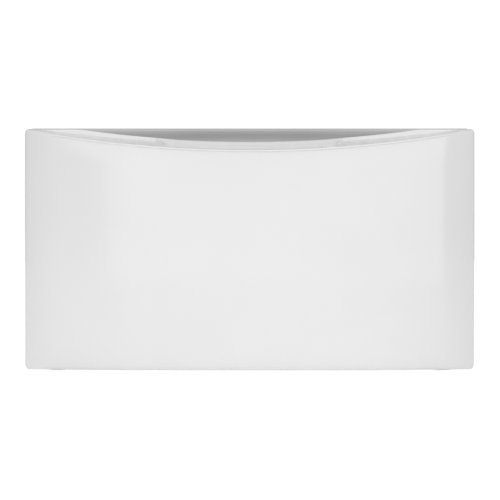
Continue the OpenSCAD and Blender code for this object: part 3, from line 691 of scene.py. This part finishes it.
def swept_front(name, profile, steps=(24, 10, 8)):
    """Sweeps a side profile of (depth, height) round the front's plan, from the middle to the
    right-hand return, and mirrors it."""
    piece = chain(name, [(0, face_y + depth, height) for depth, height in profile])
    only(piece)
    edit()
    bpy.ops.mesh.select_all(action="SELECT")
    turns = (BOW_TURN, EDGE_TURN - BOW_TURN, math.pi / 2 - EDGE_TURN)
    for centre, turn, count in zip((BOW_C, EDGE_C, CORNER_C), turns, steps):
        bpy.ops.mesh.spin(steps=count, angle=-turn, center=centre, axis=(0, 0, 1))
    bpy.ops.mesh.extrude_region_move(TRANSFORM_OT_translate={"value": (0, RETURN, 0)})
    leave()
    apply_modifier(piece, "MIRROR", merge_threshold=1e-5)
    return piece


def square_ends(piece, tuck):
    """Cuts the tuck off by the front's plan, so that the sides run straight down to round corners."""
    depth_at = {round(height / MM, 3): depth for depth, height in tuck}
    for v in piece.data.vertices:
        if v.co.z > TUCK_Z + 1e-6:
            continue
        depth = depth_at[round(v.co.z / MM, 3)]
        side = 1 if v.co.x >= 0 else -1
        below = max(0.0, FRONT_GAP + LOW_CORNER_R - v.co.z)
        widest = FRONT_W / 2 - LOW_CORNER_R + math.sqrt(LOW_CORNER_R ** 2 - below ** 2)
        x, y = abs(v.co.x), v.co.y
        if y > CORNER_C.y - 1e-6:
            v.co.x = side * widest
            continue
        for centre, radius, end in PLAN_ARCS:
            turn = math.atan2(x - centre.x, centre.y - y)
            if turn < end + 1e-6:
                break
        x = centre.x + radius * math.sin(turn)
        y = max(centre.y - radius * math.cos(turn), BOW_C.y - math.sqrt((BOW_R - depth) ** 2 - x ** 2))
        v.co = (side * min(x, widest), y, v.co.z)


def front_shell():
    """The bowed sheet with its rolled smiling rim, hem, tuck and floor."""
    roll_z = RIM_Z - ROLL_R
    bottom_c = (TUCK_R - (TUCK_R - BOTTOM_R) * math.cos(math.radians(TUCK_TURN)), FRONT_GAP + BOTTOM_R)
    bottom = arc(bottom_c, BOTTOM_R, 270, 180 + TUCK_TURN, 8)
    tuck = arc((TUCK_R, TUCK_Z), TUCK_R, 180 + TUCK_TURN, 180, 6)
    rows = [(0, TUCK_Z + (roll_z - TUCK_Z) * i / 9) for i in range(1, 9)]
    groove = [(0, roll_z - GROOVE_W * (2 - i / 8)) for i in range(9)]
    roll = arc((ROLL_R, roll_z), ROLL_R, 180, 0, 8)
    hem = [(2 * ROLL_R, RIM_Z - HEM)]
    piece = swept_front("front_shell", bottom + tuck[1:] + rows + groove + roll + hem)
    square_ends(piece, bottom + tuck)
    pick(piece, lambda co: co.z < FRONT_GAP + 1e-6)
    bpy.ops.mesh.edge_face_add()
    leave()
    low_row = rows[0][1]
    for v in piece.data.vertices:
        share = min(1.0, max(0.0, (v.co.z - low_row) / (RIM_Z - HEM - low_row)))
        v.co.z += share * (rim_height(v.co.x) - RIM_Z)
    edit()
    bpy.ops.mesh.select_all(action="SELECT")
    bpy.ops.mesh.normals_make_consistent(inside=False)
    leave()
    apply_modifier(piece, "SOLIDIFY", thickness=SHEET, offset=-1, use_even_offset=True)
    for v in piece.data.vertices:
        along = (rim_height(v.co.x) - RIM_Z + roll_z - v.co.z) / GROOVE_W - 1
        if 0 < along < 1 and v.co.y - plan_y(v.co.x, 0) < 0.1 * SHEET:
            fade = 1 - ease(abs(v.co.x), *GROOVE_FADE)
            v.co.y += fade * GROOVE_D * (1 - math.cos(2 * math.pi * along)) / 2
    smooth(piece)
    return dress(piece, "front_skin", False)


SCOOP_D = 3.1 * MM
SCOOP_T = 2.3 * MM
LIP_H = 24 * MM
RIDGE_Y = face_y + 36 * MM
RIDGE_RISE = 14.5 * MM
RIDGE_STEP = 3.5 * MM
RIDGE_R = 1850 * MM
RIDGE_END = -288.2 * MM
SHOULDER_SLOPE = (RIDGE_RISE - RIDGE_STEP) / (RIDGE_Y - face_y - SCOOP_D)
SHOULDER_COS = math.cos(math.atan(SHOULDER_SLOPE))
SHOULDER_R = 1 / (1 / SMILE_R - SHOULDER_SLOPE / BOW_R) / SHOULDER_COS
POCKET_D0 = 5.6 * MM
POCKET_FRONT = 113 * MM
POCKET_BACK = 150 * MM
POCKET_Z = RIM_Z - 40 * MM
POCKET_RAMP = (116 * MM, 143 * MM)
POCKET_FILLET = 6 * MM
POCKET_EDGE_R = 1.1 * MM
NOSE = 0.9 * MM
# Degrees by which the nose's arc stops short of level, near the shoulder's slope
SHOULDER_TILT = 19
RIDGE_ROLLS = (0.8 * MM, 10 * MM)
RIDGE_ROLL_FADE = (100 * MM, 152 * MM)
LEAST_R = 0.3 * MM
BEAD_H = 3.4 * MM
BEAD_W = 0.8 * MM
BEAD_START = (106 * MM, 119 * MM)
BEAD_GROWTH = (119 * MM, 146 * MM)
BEAD_END = (148 * MM, 152 * MM)
BEAD_SHARE = 0.75


def between(a, b, count):
    """Points after a, up to and with b."""
    return [tuple(p + (q - p) * i / count for p, q in zip(a, b)) for i in range(1, count + 1)]


def pocket_front_y(x):
    """Front edge of the finger pocket: along the rim, then back to the ridge in an S."""
    if x <= POCKET_FRONT:
        return plan_y(x, POCKET_D0)
    start = plan_y(POCKET_FRONT, POCKET_D0)
    rise = RIDGE_Y - start
    run = POCKET_BACK - POCKET_FRONT
    radius = (run ** 2 + rise ** 2) / (4 * rise)
    if x <= (POCKET_FRONT + POCKET_BACK) / 2:
        return start + radius - math.sqrt(radius ** 2 - (x - POCKET_FRONT) ** 2)
    return RIDGE_Y - radius + math.sqrt(radius ** 2 - max(0.0, POCKET_BACK - x) ** 2)


def scoop_section(x):
    """Side section (depth, height) of the scoop at x, from its lip over the pocket and the ridge
    to its rear flange and back underneath."""
    x = abs(x)
    open_share = 1 - ease(x, *POCKET_RAMP)
    lip_y = plan_y(x, SCOOP_D)
    past = max(0.0, x - (FRONT_W / 2 - TOP_CORNER_R))
    corner = FRONT_TOP - TOP_CORNER_R + math.sqrt(max(0.0, TOP_CORNER_R ** 2 - past ** 2)) - 0.3 * MM

    def shoulder(y):
        rise = SHOULDER_SLOPE * (y - face_y - SCOOP_D)
        smile = (SHOULDER_R - math.sqrt(SHOULDER_R ** 2 - x * x)) / SHOULDER_COS
        return min(RIM_Z + rise + smile, corner - 0.05 * MM)

    def floor(y):
        return shoulder(y) + (POCKET_Z - shoulder(y)) * open_share

    ridge = min(RIM_Z + RIDGE_RISE + RIDGE_R - math.sqrt(RIDGE_R ** 2 - x * x), corner)
    least_roll, most_roll = RIDGE_ROLLS
    roll = least_roll + (most_roll - least_roll) * (1 - ease(x, *RIDGE_ROLL_FADE))
    if open_share < 0.05:
        roll = min(roll, (ridge - shoulder(RIDGE_Y)) * 0.7)
    roll = max(roll, LEAST_R)
    last_y = RIDGE_Y - 1.2 * MM
    edge_y = min(pocket_front_y(x), last_y) if x < POCKET_BACK else last_y
    room = RIDGE_Y - edge_y
    third = 0.02 * MM + (shoulder(edge_y) - floor(edge_y)) / 3
    edge = min(POCKET_EDGE_R, room / 4, third)
    fillet = min(POCKET_FILLET, room / 2.5, third)

    points = [(lip_y, rim_height(x) - LIP_H + (POCKET_Z - SCOOP_T - rim_height(x) + LIP_H) * open_share)]
    points += between(points[0], (lip_y, shoulder(lip_y) - NOSE), 3)
    points += arc((lip_y + NOSE, shoulder(lip_y + NOSE) - NOSE), NOSE, 180, 90 + SHOULDER_TILT, 3)[1:]
    start = points[-1]
    bead = BEAD_H * ease(x, *BEAD_START) * (BEAD_SHARE + (1 - BEAD_SHARE) * ease(x, *BEAD_GROWTH))
    bead *= 1 - ease(x, *BEAD_END)
    bead_y = max(lip_y + 2 * NOSE, edge_y - edge - BEAD_W)
    crest = shoulder(edge_y - edge) + bead
    points += between(start, (bead_y, shoulder(bead_y)), 4)
    points += between(points[-1], (edge_y - edge - 0.3 * MM, crest), 2)
    points += arc((edge_y - edge, crest - edge), edge, 90, 0, 4)
    points += between(points[-1], (edge_y, floor(edge_y) + fillet), 4)
    low = floor(edge_y + fillet)
    points += arc((edge_y + fillet, low + fillet), fillet, 180, 270, 5)[1:]
    high = floor(RIDGE_Y - fillet)
    points += between(points[-1], (RIDGE_Y - fillet, high), 4)
    points += arc((RIDGE_Y - fillet, high + fillet), fillet, 270, 360, 5)[1:]
    points += between(points[-1], (RIDGE_Y, ridge - roll), 5)
    points += arc((RIDGE_Y + roll, ridge - roll), roll, 180, 90, 9)[1:]
    points += between(points[-1], (RIDGE_END - NOSE, ridge), 4)
    points += arc((RIDGE_END - NOSE, ridge - NOSE), NOSE, 90, 0, 3)[1:]
    points += between(points[-1], (RIDGE_END, ridge - 4 * NOSE), 1)
    inside = RIDGE_END - SCOOP_T
    back = max(RIDGE_Y + SCOOP_T, RIDGE_Y + 0.5 * roll + 0.9 * SCOOP_T)
    points += [(inside, ridge - 4 * NOSE), (inside, ridge - SCOOP_T)]
    points += between(points[-1], (RIDGE_Y + roll + 0.3 * SCOOP_T, ridge - SCOOP_T), 2)
    points += between(points[-1], (back, ridge - SCOOP_T - roll), 1)
    points += between(points[-1], (back, floor(RIDGE_Y) - SCOOP_T), 2)
    lip_in = lip_y + SCOOP_T
    points += between(points[-1], (lip_in, floor(lip_in) - SCOOP_T), 4)
    points += between(points[-1], (lip_in, points[0][1]), 1)
    return points


def loft(name, places, section):
    """A closed body through sections at these places across, each a ring of (depth, height)."""
    rings = [section(x) for x in places]
    count = len(rings[0])
    bpy.ops.object.select_all(action="DESELECT")
    bpy.ops.mesh.primitive_grid_add(x_subdivisions=len(places) - 1, y_subdivisions=count, size=2)
    piece = bpy.context.object
    piece.name = name
    for v in piece.data.vertices:
        column = round((v.co.x + 1) / 2 * (len(places) - 1))
        row = round((v.co.y + 1) / 2 * count) % count
        v.co = (places[column], *rings[column][row])
    edit()
    bpy.ops.mesh.select_all(action="SELECT")
    bpy.ops.mesh.remove_doubles(threshold=1e-7)
    leave()
    return closed(piece)


def handle_scoop():
    """The white moulding, with wide steps across the pocket and fine ones along its S."""
    steps = [7.5 * i for i in range(14)] + [105 + 1.5 * i for i in range(31)]
    steps += [150 + 187 * i / 28 for i in range(1, 29)] + [338.5, 339.6]
    half = [step * MM for step in steps]
    piece = loft("handle_scoop_moulding", [-x for x in half[:0:-1]] + half, scoop_section)
    smooth(piece, 40)
    return dress(piece, "handle_scoop", False)


front_shell()
handle_scoop()

# ---------- finishes of the CAD pieces ----------

for node, piece in frame["nodes"].items():
    piece.data.materials.clear()
    piece.data.materials.append(finishes[slot_of[node]])

# ---------- grey rail above the drawer ----------

CAB_X = 340 * MM
CAB_Y0 = -283.831 * MM
FLANGE_Y1 = 346.4 * MM
BACK_Y = 348.4 * MM
TOP_Z = 375 * MM
DECK_Z = 373.8 * MM
TOP_RAIL_Z = 329 * MM
RAIL_D = 26 * MM
NOSE_R = 9 * MM
END_R = 5 * MM
RAIL_END_X = CAB_X - 1.2 * MM


def rail_section(x):
    """Side section of the grey rail: a rounded nose on a channel, lower where its ends are round."""
    past = max(0.0, abs(x) - (RAIL_END_X - END_R))
    top = TOP_Z - END_R + math.sqrt(max(0.0, END_R ** 2 - past ** 2))
    back = CAB_Y0 + RAIL_D
    wall = 1.5 * MM
    outer = [(back, TOP_RAIL_Z)] + between((back, TOP_RAIL_Z), (CAB_Y0 + wall, TOP_RAIL_Z), 3)
    outer += arc((CAB_Y0 + wall, TOP_RAIL_Z + wall), wall, 270, 180, 4)[1:]
    outer += between(outer[-1], (CAB_Y0, top - NOSE_R), 4)
    outer += arc((CAB_Y0 + NOSE_R, top - NOSE_R), NOSE_R, 180, 90, 14)[1:]
    outer += between(outer[-1], (back, top), 2)
    inner_r = NOSE_R - wall
    inner = [(back, top - wall), (CAB_Y0 + NOSE_R, top - wall)]
    inner += arc((CAB_Y0 + NOSE_R, top - NOSE_R), inner_r, 90, 180, 8)[1:]
    inner += [(CAB_Y0 + wall, TOP_RAIL_Z + wall), (back, TOP_RAIL_Z + wall)]
    return outer + inner


def front_top_rail():
    """The rail, with fine steps round its ends."""
    ends = [333.8, 334.5, 335.5, 336.5, 337.3, 338, 338.5, 338.8]
    half = [333 * i / 14 for i in range(14)] + ends
    half = [x * MM for x in half]
    piece = loft("front_top_rail_channel", [-x for x in half[:0:-1]] + half, rail_section)
    smooth(piece, 40)
    return dress(piece, "front_top_rail")


front_top_rail()


# ---------- cabinet of sheet steel ----------

BASE_Z = 32 * MM
BASE_TOP_Z = 62 * MM
SIDE_IN_X = 339 * MM
RAIL_T = 1.2 * MM
SIDE_RAIL_D = 19 * MM
DECK_Y0 = CAB_Y0 + RAIL_D


def side_panel(name):
    piece = joined_copy(name, name + "_sheet")

    def corner(co):
        at_front = co.y < CAB_Y0 + 1.5 * MM and BASE_TOP_Z + 2 * MM < co.z < TOP_RAIL_Z - 2 * MM
        at_back = co.y > FLANGE_Y1 - 0.5 * MM and co.z < DECK_Z - 2 * MM
        return (at_front or at_back) and abs(co.x) > SIDE_IN_X - 0.5 * MM

    bend(piece, 0.9 * MM, corner)
    rounded(piece, 0.22 * MM, 2)
    return dress(piece, name)


def top_deck():
    piece = joined_copy("top_deck", "top_deck_sheet")
    bend(piece, 1.0 * MM, lambda co: abs(co.x) < 200 * MM and abs(co.y) < 240 * MM)
    rounded(piece, 0.3 * MM, 2)
    return dress(piece, "top_deck")


def back_panel():
    piece = joined_copy("back_panel", "back_panel_sheet")
    bend(piece, 0.8 * MM, lambda co: abs(co.x) < 200 * MM and 60 * MM < co.z < 345 * MM)
    rounded(piece, 0.22 * MM, 2)
    return dress(piece, "back_panel")


def base_rail(name, along, web, tip, start, end):
    """A channel of the base, with its web at the outside and its flanges inward."""
    low = BASE_Z + RAIL_T / 2
    high = BASE_TOP_Z - RAIL_T / 2
    path = [(tip, low), (web, low), (web, high), (tip, high)]
    dress(folded(name + "_channel", path, along, start, end, RAIL_T), name)


def base_rails():
    half = RAIL_T / 2
    end = SIDE_IN_X - 0.1 * MM
    for name, face, turn in (("front_base_rail", CAB_Y0, 1), ("rear_base_rail", FLANGE_Y1, -1)):
        base_rail(name, "x", face + turn * half, face + turn * RAIL_D, -end, end)
    for word, side in SIDES.items():
        web = side * (SIDE_IN_X - half)
        tip = side * (SIDE_IN_X - SIDE_RAIL_D)
        base_rail("side_base_rail_" + word, "y", web, tip, DECK_Y0, FLANGE_Y1 - RAIL_D)


for word in SIDES:
    side_panel("side_panel_" + word)
top_deck()
back_panel()
base_rails()


# ---------- screws ----------

def screw_head(name, radius, height):
    """A hex washer head with a dished top, its axis along +Y and its seat at the origin."""
    flange = turned(name, [
        (0, 0), (radius - 0.2 * MM, 0), (radius, 0.25 * MM), (radius - 0.15 * MM, 0.55 * MM),
        (0.8 * radius, 0.75 * MM), (0, 0.75 * MM)], (0, 0, 0), "y", 32)
    bpy.ops.object.select_all(action="DESELECT")
    bpy.ops.mesh.primitive_cylinder_add(
        vertices=6, radius=0.78 * radius, depth=height - 0.3 * MM,
        location=(0, (height + 0.3 * MM) / 2, 0), rotation=(math.pi / 2, 0, 0))
    hexagon = settle(bpy.context.object)
    pick(hexagon, lambda co, normal: normal.y > 0.9, "faces")
    bpy.ops.mesh.inset(thickness=0.14 * radius)
    bpy.ops.mesh.inset(thickness=0.12 * radius, depth=-0.3 * MM)
    leave()
    rounded(hexagon, 0.12 * MM, 2)
    smooth(flange)
    return joined([flange, hexagon], name)


def coil(name, core, crest, pitch, turns, start):
    """A screw thread about the z axis: a ridge wound round a core, from height start up."""
    root = core - 0.15 * MM
    ring = [(root, 0), (crest, 0.38 * pitch), (crest, 0.5 * pitch), (root, 0.86 * pitch)]
    piece = chain(name, [(r, 0, start + h) for r, h in ring])
    edit()
    bpy.ops.mesh.edge_face_add()
    bpy.ops.mesh.delete(type="ONLY_FACE")
    leave()
    apply_modifier(
        piece, "SCREW", angle=2 * math.pi, screw_offset=pitch, iterations=turns,
        steps=20, render_steps=20, use_merge_vertices=False, axis="Z")
    return closed(piece)


SCREW_PITCH = 1.1 * MM


def screws(name, places, direction, length):
    """Screws of one node. Each lies at its seat and points along `direction`, away from the head."""
    head = screw_head(name + "_head", 4 * MM, 1.6 * MM)
    shank = turned(name + "_shank", [
        (0, 0.1 * MM), (1.55 * MM, 0.1 * MM), (1.55 * MM, 1.2 * MM - length), (0, -length)],
        (0, 0, 0), "y", 20)
    turns = max(1, int((length - 1.6 * MM) / SCREW_PITCH))
    thread = coil(name + "_thread", 1.5 * MM, 2 * MM, SCREW_PITCH, turns, 0)
    thread.data.transform(Matrix.Rotation(math.pi / 2, 4, "X"))
    thread.data.transform(Matrix.Translation((0, -0.2 * MM, 0)))
    smooth(shank)
    smooth(thread)
    model = joined([head, shank, thread], name)
    out = -Vector(direction)
    copies = []
    for count, seat in enumerate(places):
        copy = duplicate(model, (0, 0, 0), name + "_%d" % count)
        copy.data.transform(Matrix.Rotation(count * 0.7, 4, "Y"))
        copy.data.transform(Vector((0, 1, 0)).rotation_difference(out).to_matrix().to_4x4())
        copy.data.transform(Matrix.Translation(seat))
        copies.append(copy)
    bpy.data.objects.remove(model)
    return copies


FLANGE_X = 330.5 * MM
BACK_SCREW_Z = 80 * MM
BACK_SCREW_RUN = 263.8 * MM
seats = [
    (side * FLANGE_X, BACK_Y, BACK_SCREW_Z + BACK_SCREW_RUN * i / 3) for side in (-1, 1) for i in range(4)]
dress(joined(screws("back_screw", seats, (0, -1, 0), 5 * MM), "back_screws_driven"), "back_screws")

BOX_X = 307.3 * MM
FRONT_REAR_Y = -286.831 * MM
SHEET_T = 1 * MM
SLIDE_Z = 150 * MM
SLIDE_Y0 = CAB_Y0 + 4 * MM
FRONT_SCREW_X = 297.3 * MM
FRONT_SCREW_ZS = (100 * MM, 185 * MM, 270 * MM)
SLIDE_SCREW_Y = SLIDE_Y0 + 40 * MM
SLIDE_SCREW_STEP = 230 * MM
drawer_screws = []
for side in (-1, 1):
    seats = [(side * FRONT_SCREW_X, FRONT_REAR_Y + SHEET_T, z) for z in FRONT_SCREW_ZS]
    drawer_screws += screws("front_screw", seats, (0, -1, 0), 5.2 * MM)
    seats = [(side * (BOX_X - SHEET_T), SLIDE_SCREW_Y + SLIDE_SCREW_STEP * i, SLIDE_Z) for i in range(3)]
    drawer_screws += screws("slide_screw", seats, (side, 0, 0), 2.2 * MM)
dress(joined(drawer_screws, "drawer_screws_driven"), "drawer_screws")


# ---------- drawer box ----------

BOX_Z0 = 70 * MM
BOX_Z1 = 300 * MM
BOX_Y1 = 289.169 * MM
BOX_LIP_X = BOX_X - 12 * MM
BOX_LIP_H = 7 * MM
TAB_W = 19 * MM
TAB_CORNER = 4 * MM


def drawer_side(name, side):
    t = SHEET_T / 2
    path = [(BOX_LIP_X, BOX_Z0 + t), (BOX_X - t, BOX_Z0 + t), (BOX_X - t, BOX_Z1 - t),
            (BOX_LIP_X + t, BOX_Z1 - t), (BOX_LIP_X + t, BOX_Z1 - BOX_LIP_H)]
    path = [(side * x, z) for x, z in path]
    wall = folded(name + "_wall", path, "y", FRONT_REAR_Y, BOX_Y1, SHEET_T, 1.4 * MM)
    x0, x1 = BOX_X - TAB_W, BOX_X - 1.2 * MM
    z0, z1 = BOX_Z0 + 8 * MM, BOX_Z1 - 11 * MM
    outline = [(x1, z0)] + arc((x0 + TAB_CORNER, z0 + TAB_CORNER), TAB_CORNER, 270, 180, 5)
    outline += arc((x0 + TAB_CORNER, z1 - TAB_CORNER), TAB_CORNER, 180, 90, 5) + [(x1, z1)]
    tab = bar(name + "_tab", [(side * x, z) for x, z in outline], "y", FRONT_REAR_Y, FRONT_REAR_Y + SHEET_T)
    rounded(tab, 0.2 * MM, 2, 50)
    return dress(joined([wall, tab], name + "_sheet"), name)


def drawer_back():
    t = SHEET_T / 2
    top = BOX_Z1 - 9 * MM
    half = BOX_X - SHEET_T
    lip_half = BOX_LIP_X - 0.1 * MM
    wall = folded("drawer_back_wall", [
        (BOX_Y1 - t, BOX_Z0), (BOX_Y1 - t, top - t), (BOX_Y1 - 12 * MM, top - t)],
        "x", -lip_half, lip_half, SHEET_T, 1.4 * MM)
    inside = BOX_Y1 - SHEET_T
    below = top - 1.9 * MM
    outline = [(inside, BOX_Z0), (BOX_Y1, BOX_Z0), (BOX_Y1, below), (inside, below)]
    sides = []
    for side in (-1, 1):
        start, end = sorted((side * lip_half, side * half))
        sides.append(bar("drawer_back_end", outline, "x", start, end))
    return dress(joined([wall] + sides, "drawer_back_sheet"), "drawer_back")


def drawer_bottom():
    piece = joined_copy("drawer_bottom", "drawer_bottom_sheet")
    bend(piece, 0.6 * MM, lambda co: abs(co.x) < 200 * MM and -220 * MM < co.y < 220 * MM)
    rounded(piece, 0.2 * MM, 2)
    return dress(piece, "drawer_bottom")


for word, side in SIDES.items():
    drawer_side("drawer_side_" + word, side)
drawer_back()
drawer_bottom()


# ---------- slides ----------

SLIDE_X = 320 * MM
OUTER_L = 550 * MM
MOVING_L = 540 * MM
# Upper halves of the members' sections in mm: distance from the bracket, height over the middle
OUTER_HALF = [(9.6, 20.7), (9.6, 22.1), (0.6, 22.1)]
MIDDLE_HALF = [(10.6, 15.3), (10.6, 16.8), (4.0, 16.8)]
INNER_HALF = [(7, 9.9), (7, 11.4), (12.1, 11.4)]
LEVER_PIN_Y = SLIDE_Y0 + 341 * MM
BALL_Y0 = -144.831 * MM
BALL_RUN = 276 * MM
BALLS_IN_ROW = 10


def slide_member(name, side, corners, start, length, radius=0.9 * MM):
    """A slide member. The upper half of its section is mirrored about the slide's middle."""
    upper = [(side * (SLIDE_X - s * MM), SLIDE_Z + z * MM) for s, z in corners]
    lower = [(x, 2 * SLIDE_Z - z) for x, z in upper]
    return folded(name + "_track", upper + lower[::-1], "y", start, start + length, RAIL_T, radius)


for word, side in SIDES.items():
    outer = slide_member("slide_outer_" + word, side, OUTER_HALF, SLIDE_Y0, OUTER_L, 0.8 * MM)
    dress(outer, "slide_outer_" + word)
    middle = slide_member("slide_middle_" + word, side, MIDDLE_HALF, SLIDE_Y0 + 2 * MM, MOVING_L)
    dress(middle, "slide_middle_" + word)
    inner = slide_member("slide_inner_" + word, side, INNER_HALF, SLIDE_Y0, MOVING_L)
    pin = turned("lever_pin", [
        (0, 0), (1.6 * MM, 0), (2 * MM, 0.4 * MM), (2 * MM, 5 * MM), (0, 5 * MM)], (0, 0, 0), "z", 20)
    pin.data.transform(Matrix.Rotation(-side * math.pi / 2, 4, "Y"))
    pin.data.transform(Matrix.Translation((side * (SLIDE_X - 7.0 * MM), LEVER_PIN_Y, SLIDE_Z)))
    smooth(pin)
    dress(joined([inner, pin], "slide_inner_%s_track" % word), "slide_inner_" + word)
    t = RAIL_T / 2
    foot, half = 12 * MM, 20 * MM
    path = [(SIDE_IN_X - t, half + foot), (SIDE_IN_X - t, half - t), (SLIDE_X + t, half - t)]
    path += [(x, -z) for x, z in path[::-1]]
    path = [(side * x, SLIDE_Z + z) for x, z in path]
    bracket = folded(
        "slide_bracket_%s_hat" % word, path, "y", CAB_Y0 + 1.1 * MM, FLANGE_Y1 - 8 * MM, RAIL_T, 1.5 * MM)
    dress(bracket, "slide_bracket_" + word)


def balls(node, side, radius, out, rise):
    """Two rows of polished balls between the raceways."""
    bpy.ops.object.select_all(action="DESELECT")
    bpy.ops.mesh.primitive_uv_sphere_add(segments=24, ring_count=14, radius=radius)
    model = bpy.context.object
    model.name = node + "_ball"
    row = [BALL_Y0 + BALL_RUN * i / (BALLS_IN_ROW - 1) for i in range(BALLS_IN_ROW)]
    places = [(side * (SLIDE_X - out), y, SLIDE_Z + turn * rise) for turn in (-1, 1) for y in row]
    copies = [duplicate(model, spot, node + "_ball") for spot in places]
    bpy.data.objects.remove(model)
    rows = joined(copies, node + "_rows")
    smooth(rows, 60)
    dress(rows, node)


for word, side in SIDES.items():
    balls("balls_outer_" + word, side, 1.75 * MM, 7 * MM, 19.45 * MM)
    balls("balls_inner_" + word, side, 1.8 * MM, 8.2 * MM, 14.1 * MM)


# ---------- feet ----------

LEG_X = 300 * MM
LEG_YS = {"front": -211.831 * MM, "rear": 295.4 * MM}
NUT_AF = 17 * MM
NUT_R = NUT_AF / 2 / math.cos(math.pi / 6)
STUD_R = 5 * MM


def hexagon(name, low, high, hole):
    """A hexagon nut or collar whose corners are turned off at a slant, above and below."""
    slope = 0.55
    reach = 0.97 * NUT_AF / 2
    chamfer = 0.6 * MM
    rim = [(reach, low), (NUT_R, low + chamfer), (NUT_R, high - chamfer), (reach, high)]
    bore = [(hole + chamfer, high), (hole, high - chamfer), (hole, low + chamfer), (hole + chamfer, low)]
    profile = rim + bore + rim[:1] if hole else [(0, low)] + rim + [(0, high)]
    body = turned(name, profile, (0, 0, 0), "z", 48)
    for v in body.data.vertices:
        if math.hypot(v.co.x, v.co.y) > reach + 0.02 * MM:
            around = math.atan2(v.co.y, v.co.x) % (math.pi / 3) - math.pi / 6
            flat = NUT_AF / 2 / math.cos(around)
            drop = (flat - reach) * slope
            v.co = (v.co.x * flat / NUT_R, v.co.y * flat / NUT_R,
                    high - drop if v.co.z > (low + high) / 2 else low + drop)
    smooth(body, 20)
    return body


def nuts(node, low, high):
    model = hexagon(node + "_nut", low, high, STUD_R + 0.08 * MM)
    copies = [
        duplicate(model, (side * LEG_X, y, 0), node + "_nut") for side in (-1, 1) for y in LEG_YS.values()]
    bpy.data.objects.remove(model)
    dress(joined(copies, node + "_turned"), node)


def levelling_stud(end, word):
    name = "stud_%s_%s" % (end, word)
    core = 4.45 * MM
    shaft = turned(name + "_shaft", [
        (0, 5.3 * MM), (4.4 * MM, 5.3 * MM), (5 * MM, 5.9 * MM), (5 * MM, 20.5 * MM), (core, 21.2 * MM),
        (core, 61.2 * MM), (core - 0.8 * MM, 62 * MM), (0, 62 * MM)], (0, 0, 0), "z", 40)
    smooth(shaft)
    thread = coil(name + "_thread", core, STUD_R, 1.5 * MM, 26, 20.9 * MM)
    smooth(thread)
    collar = hexagon(name + "_collar", 14.3 * MM, 19.9 * MM, 0)
    piece = joined([shaft, thread, collar], name + "_threaded")
    piece.data.transform(Matrix.Translation((SIDES[word] * LEG_X, LEG_YS[end], 0)))
    dress(piece, name)


def foot_pad(end, word):
    name = "pad_%s_%s" % (end, word)
    profile = [
        (0, 0.4), (9, 0.4), (9.6, 0), (11.4, 0), (12, 0.4), (13.4, 0.4), (14, 0), (15.8, 0), (16.4, 0.4),
        (17.4, 0.4), (18, 0), (19.2, 0), (19.8, 0.35), (20, 1), (20, 1.7), (19.5, 2.1), (19.5, 2.5),
        (20, 2.9), (20, 4), (19.7, 4.7), (19, 5), (15.2, 5), (14.7, 5.3), (14.2, 6.1), (10.5, 12.6),
        (10.1, 13.5), (9.4, 14), (6.2, 14), (5.5, 13.6), (5.15, 12.9), (5.15, 5.0), (0, 5.0)]
    piece = turned(name + "_moulded", [(r * MM, z * MM) for r, z in profile], (0, 0, 0), "z", 64)
    smooth(piece, 30)
    piece.data.transform(Matrix.Translation((SIDES[word] * LEG_X, LEG_YS[end], 0)))
    dress(piece, name)


nuts("weld_nuts", 36.2 * MM, 44.2 * MM)
nuts("lock_nuts", 27.2 * MM, 33.2 * MM)
for end in ENDS:
    for word in SIDES:
        levelling_stud(end, word)
        foot_pad(end, word)


# ---------- small pieces ----------

BUMPER_ZS = (92 * MM, 299 * MM)


def front_bumpers():
    """Rubber buttons with a domed face and a rim."""
    profile = [
        (0, 0), (5, 0), (5, 0.8), (4.6, 1.1), (4.2, 1.2), (3.9, 2.0), (3.3, 2.5), (2.0, 2.75), (0, 2.8)]
    profile = [(r * MM, y * MM) for r, y in profile]
    buttons = []
    for side in (-1, 1):
        for z in BUMPER_ZS:
            button = turned("bumper", profile, (side * FLANGE_X, FRONT_REAR_Y, z), "y", 32)
            smooth(button)
            buttons.append(button)
    return dress(joined(buttons, "front_bumpers_moulded"), "front_bumpers")


front_bumpers()
for node, width in (("leg_plates", 0.5), ("inner_front", 0.25), ("slide_stops", 1.2)):
    softened(node, width * MM)
for word in SIDES:
    softened("front_stiffener_" + word, 0.3 * MM)
    softened("release_lever_" + word, 0.6 * MM, 3)
    for row in ("outer", "inner"):
        softened("cage_%s_%s" % (row, word), 0.12 * MM, 1)
for end in ENDS:
    softened("deck_brace_" + end, 0.3 * MM)
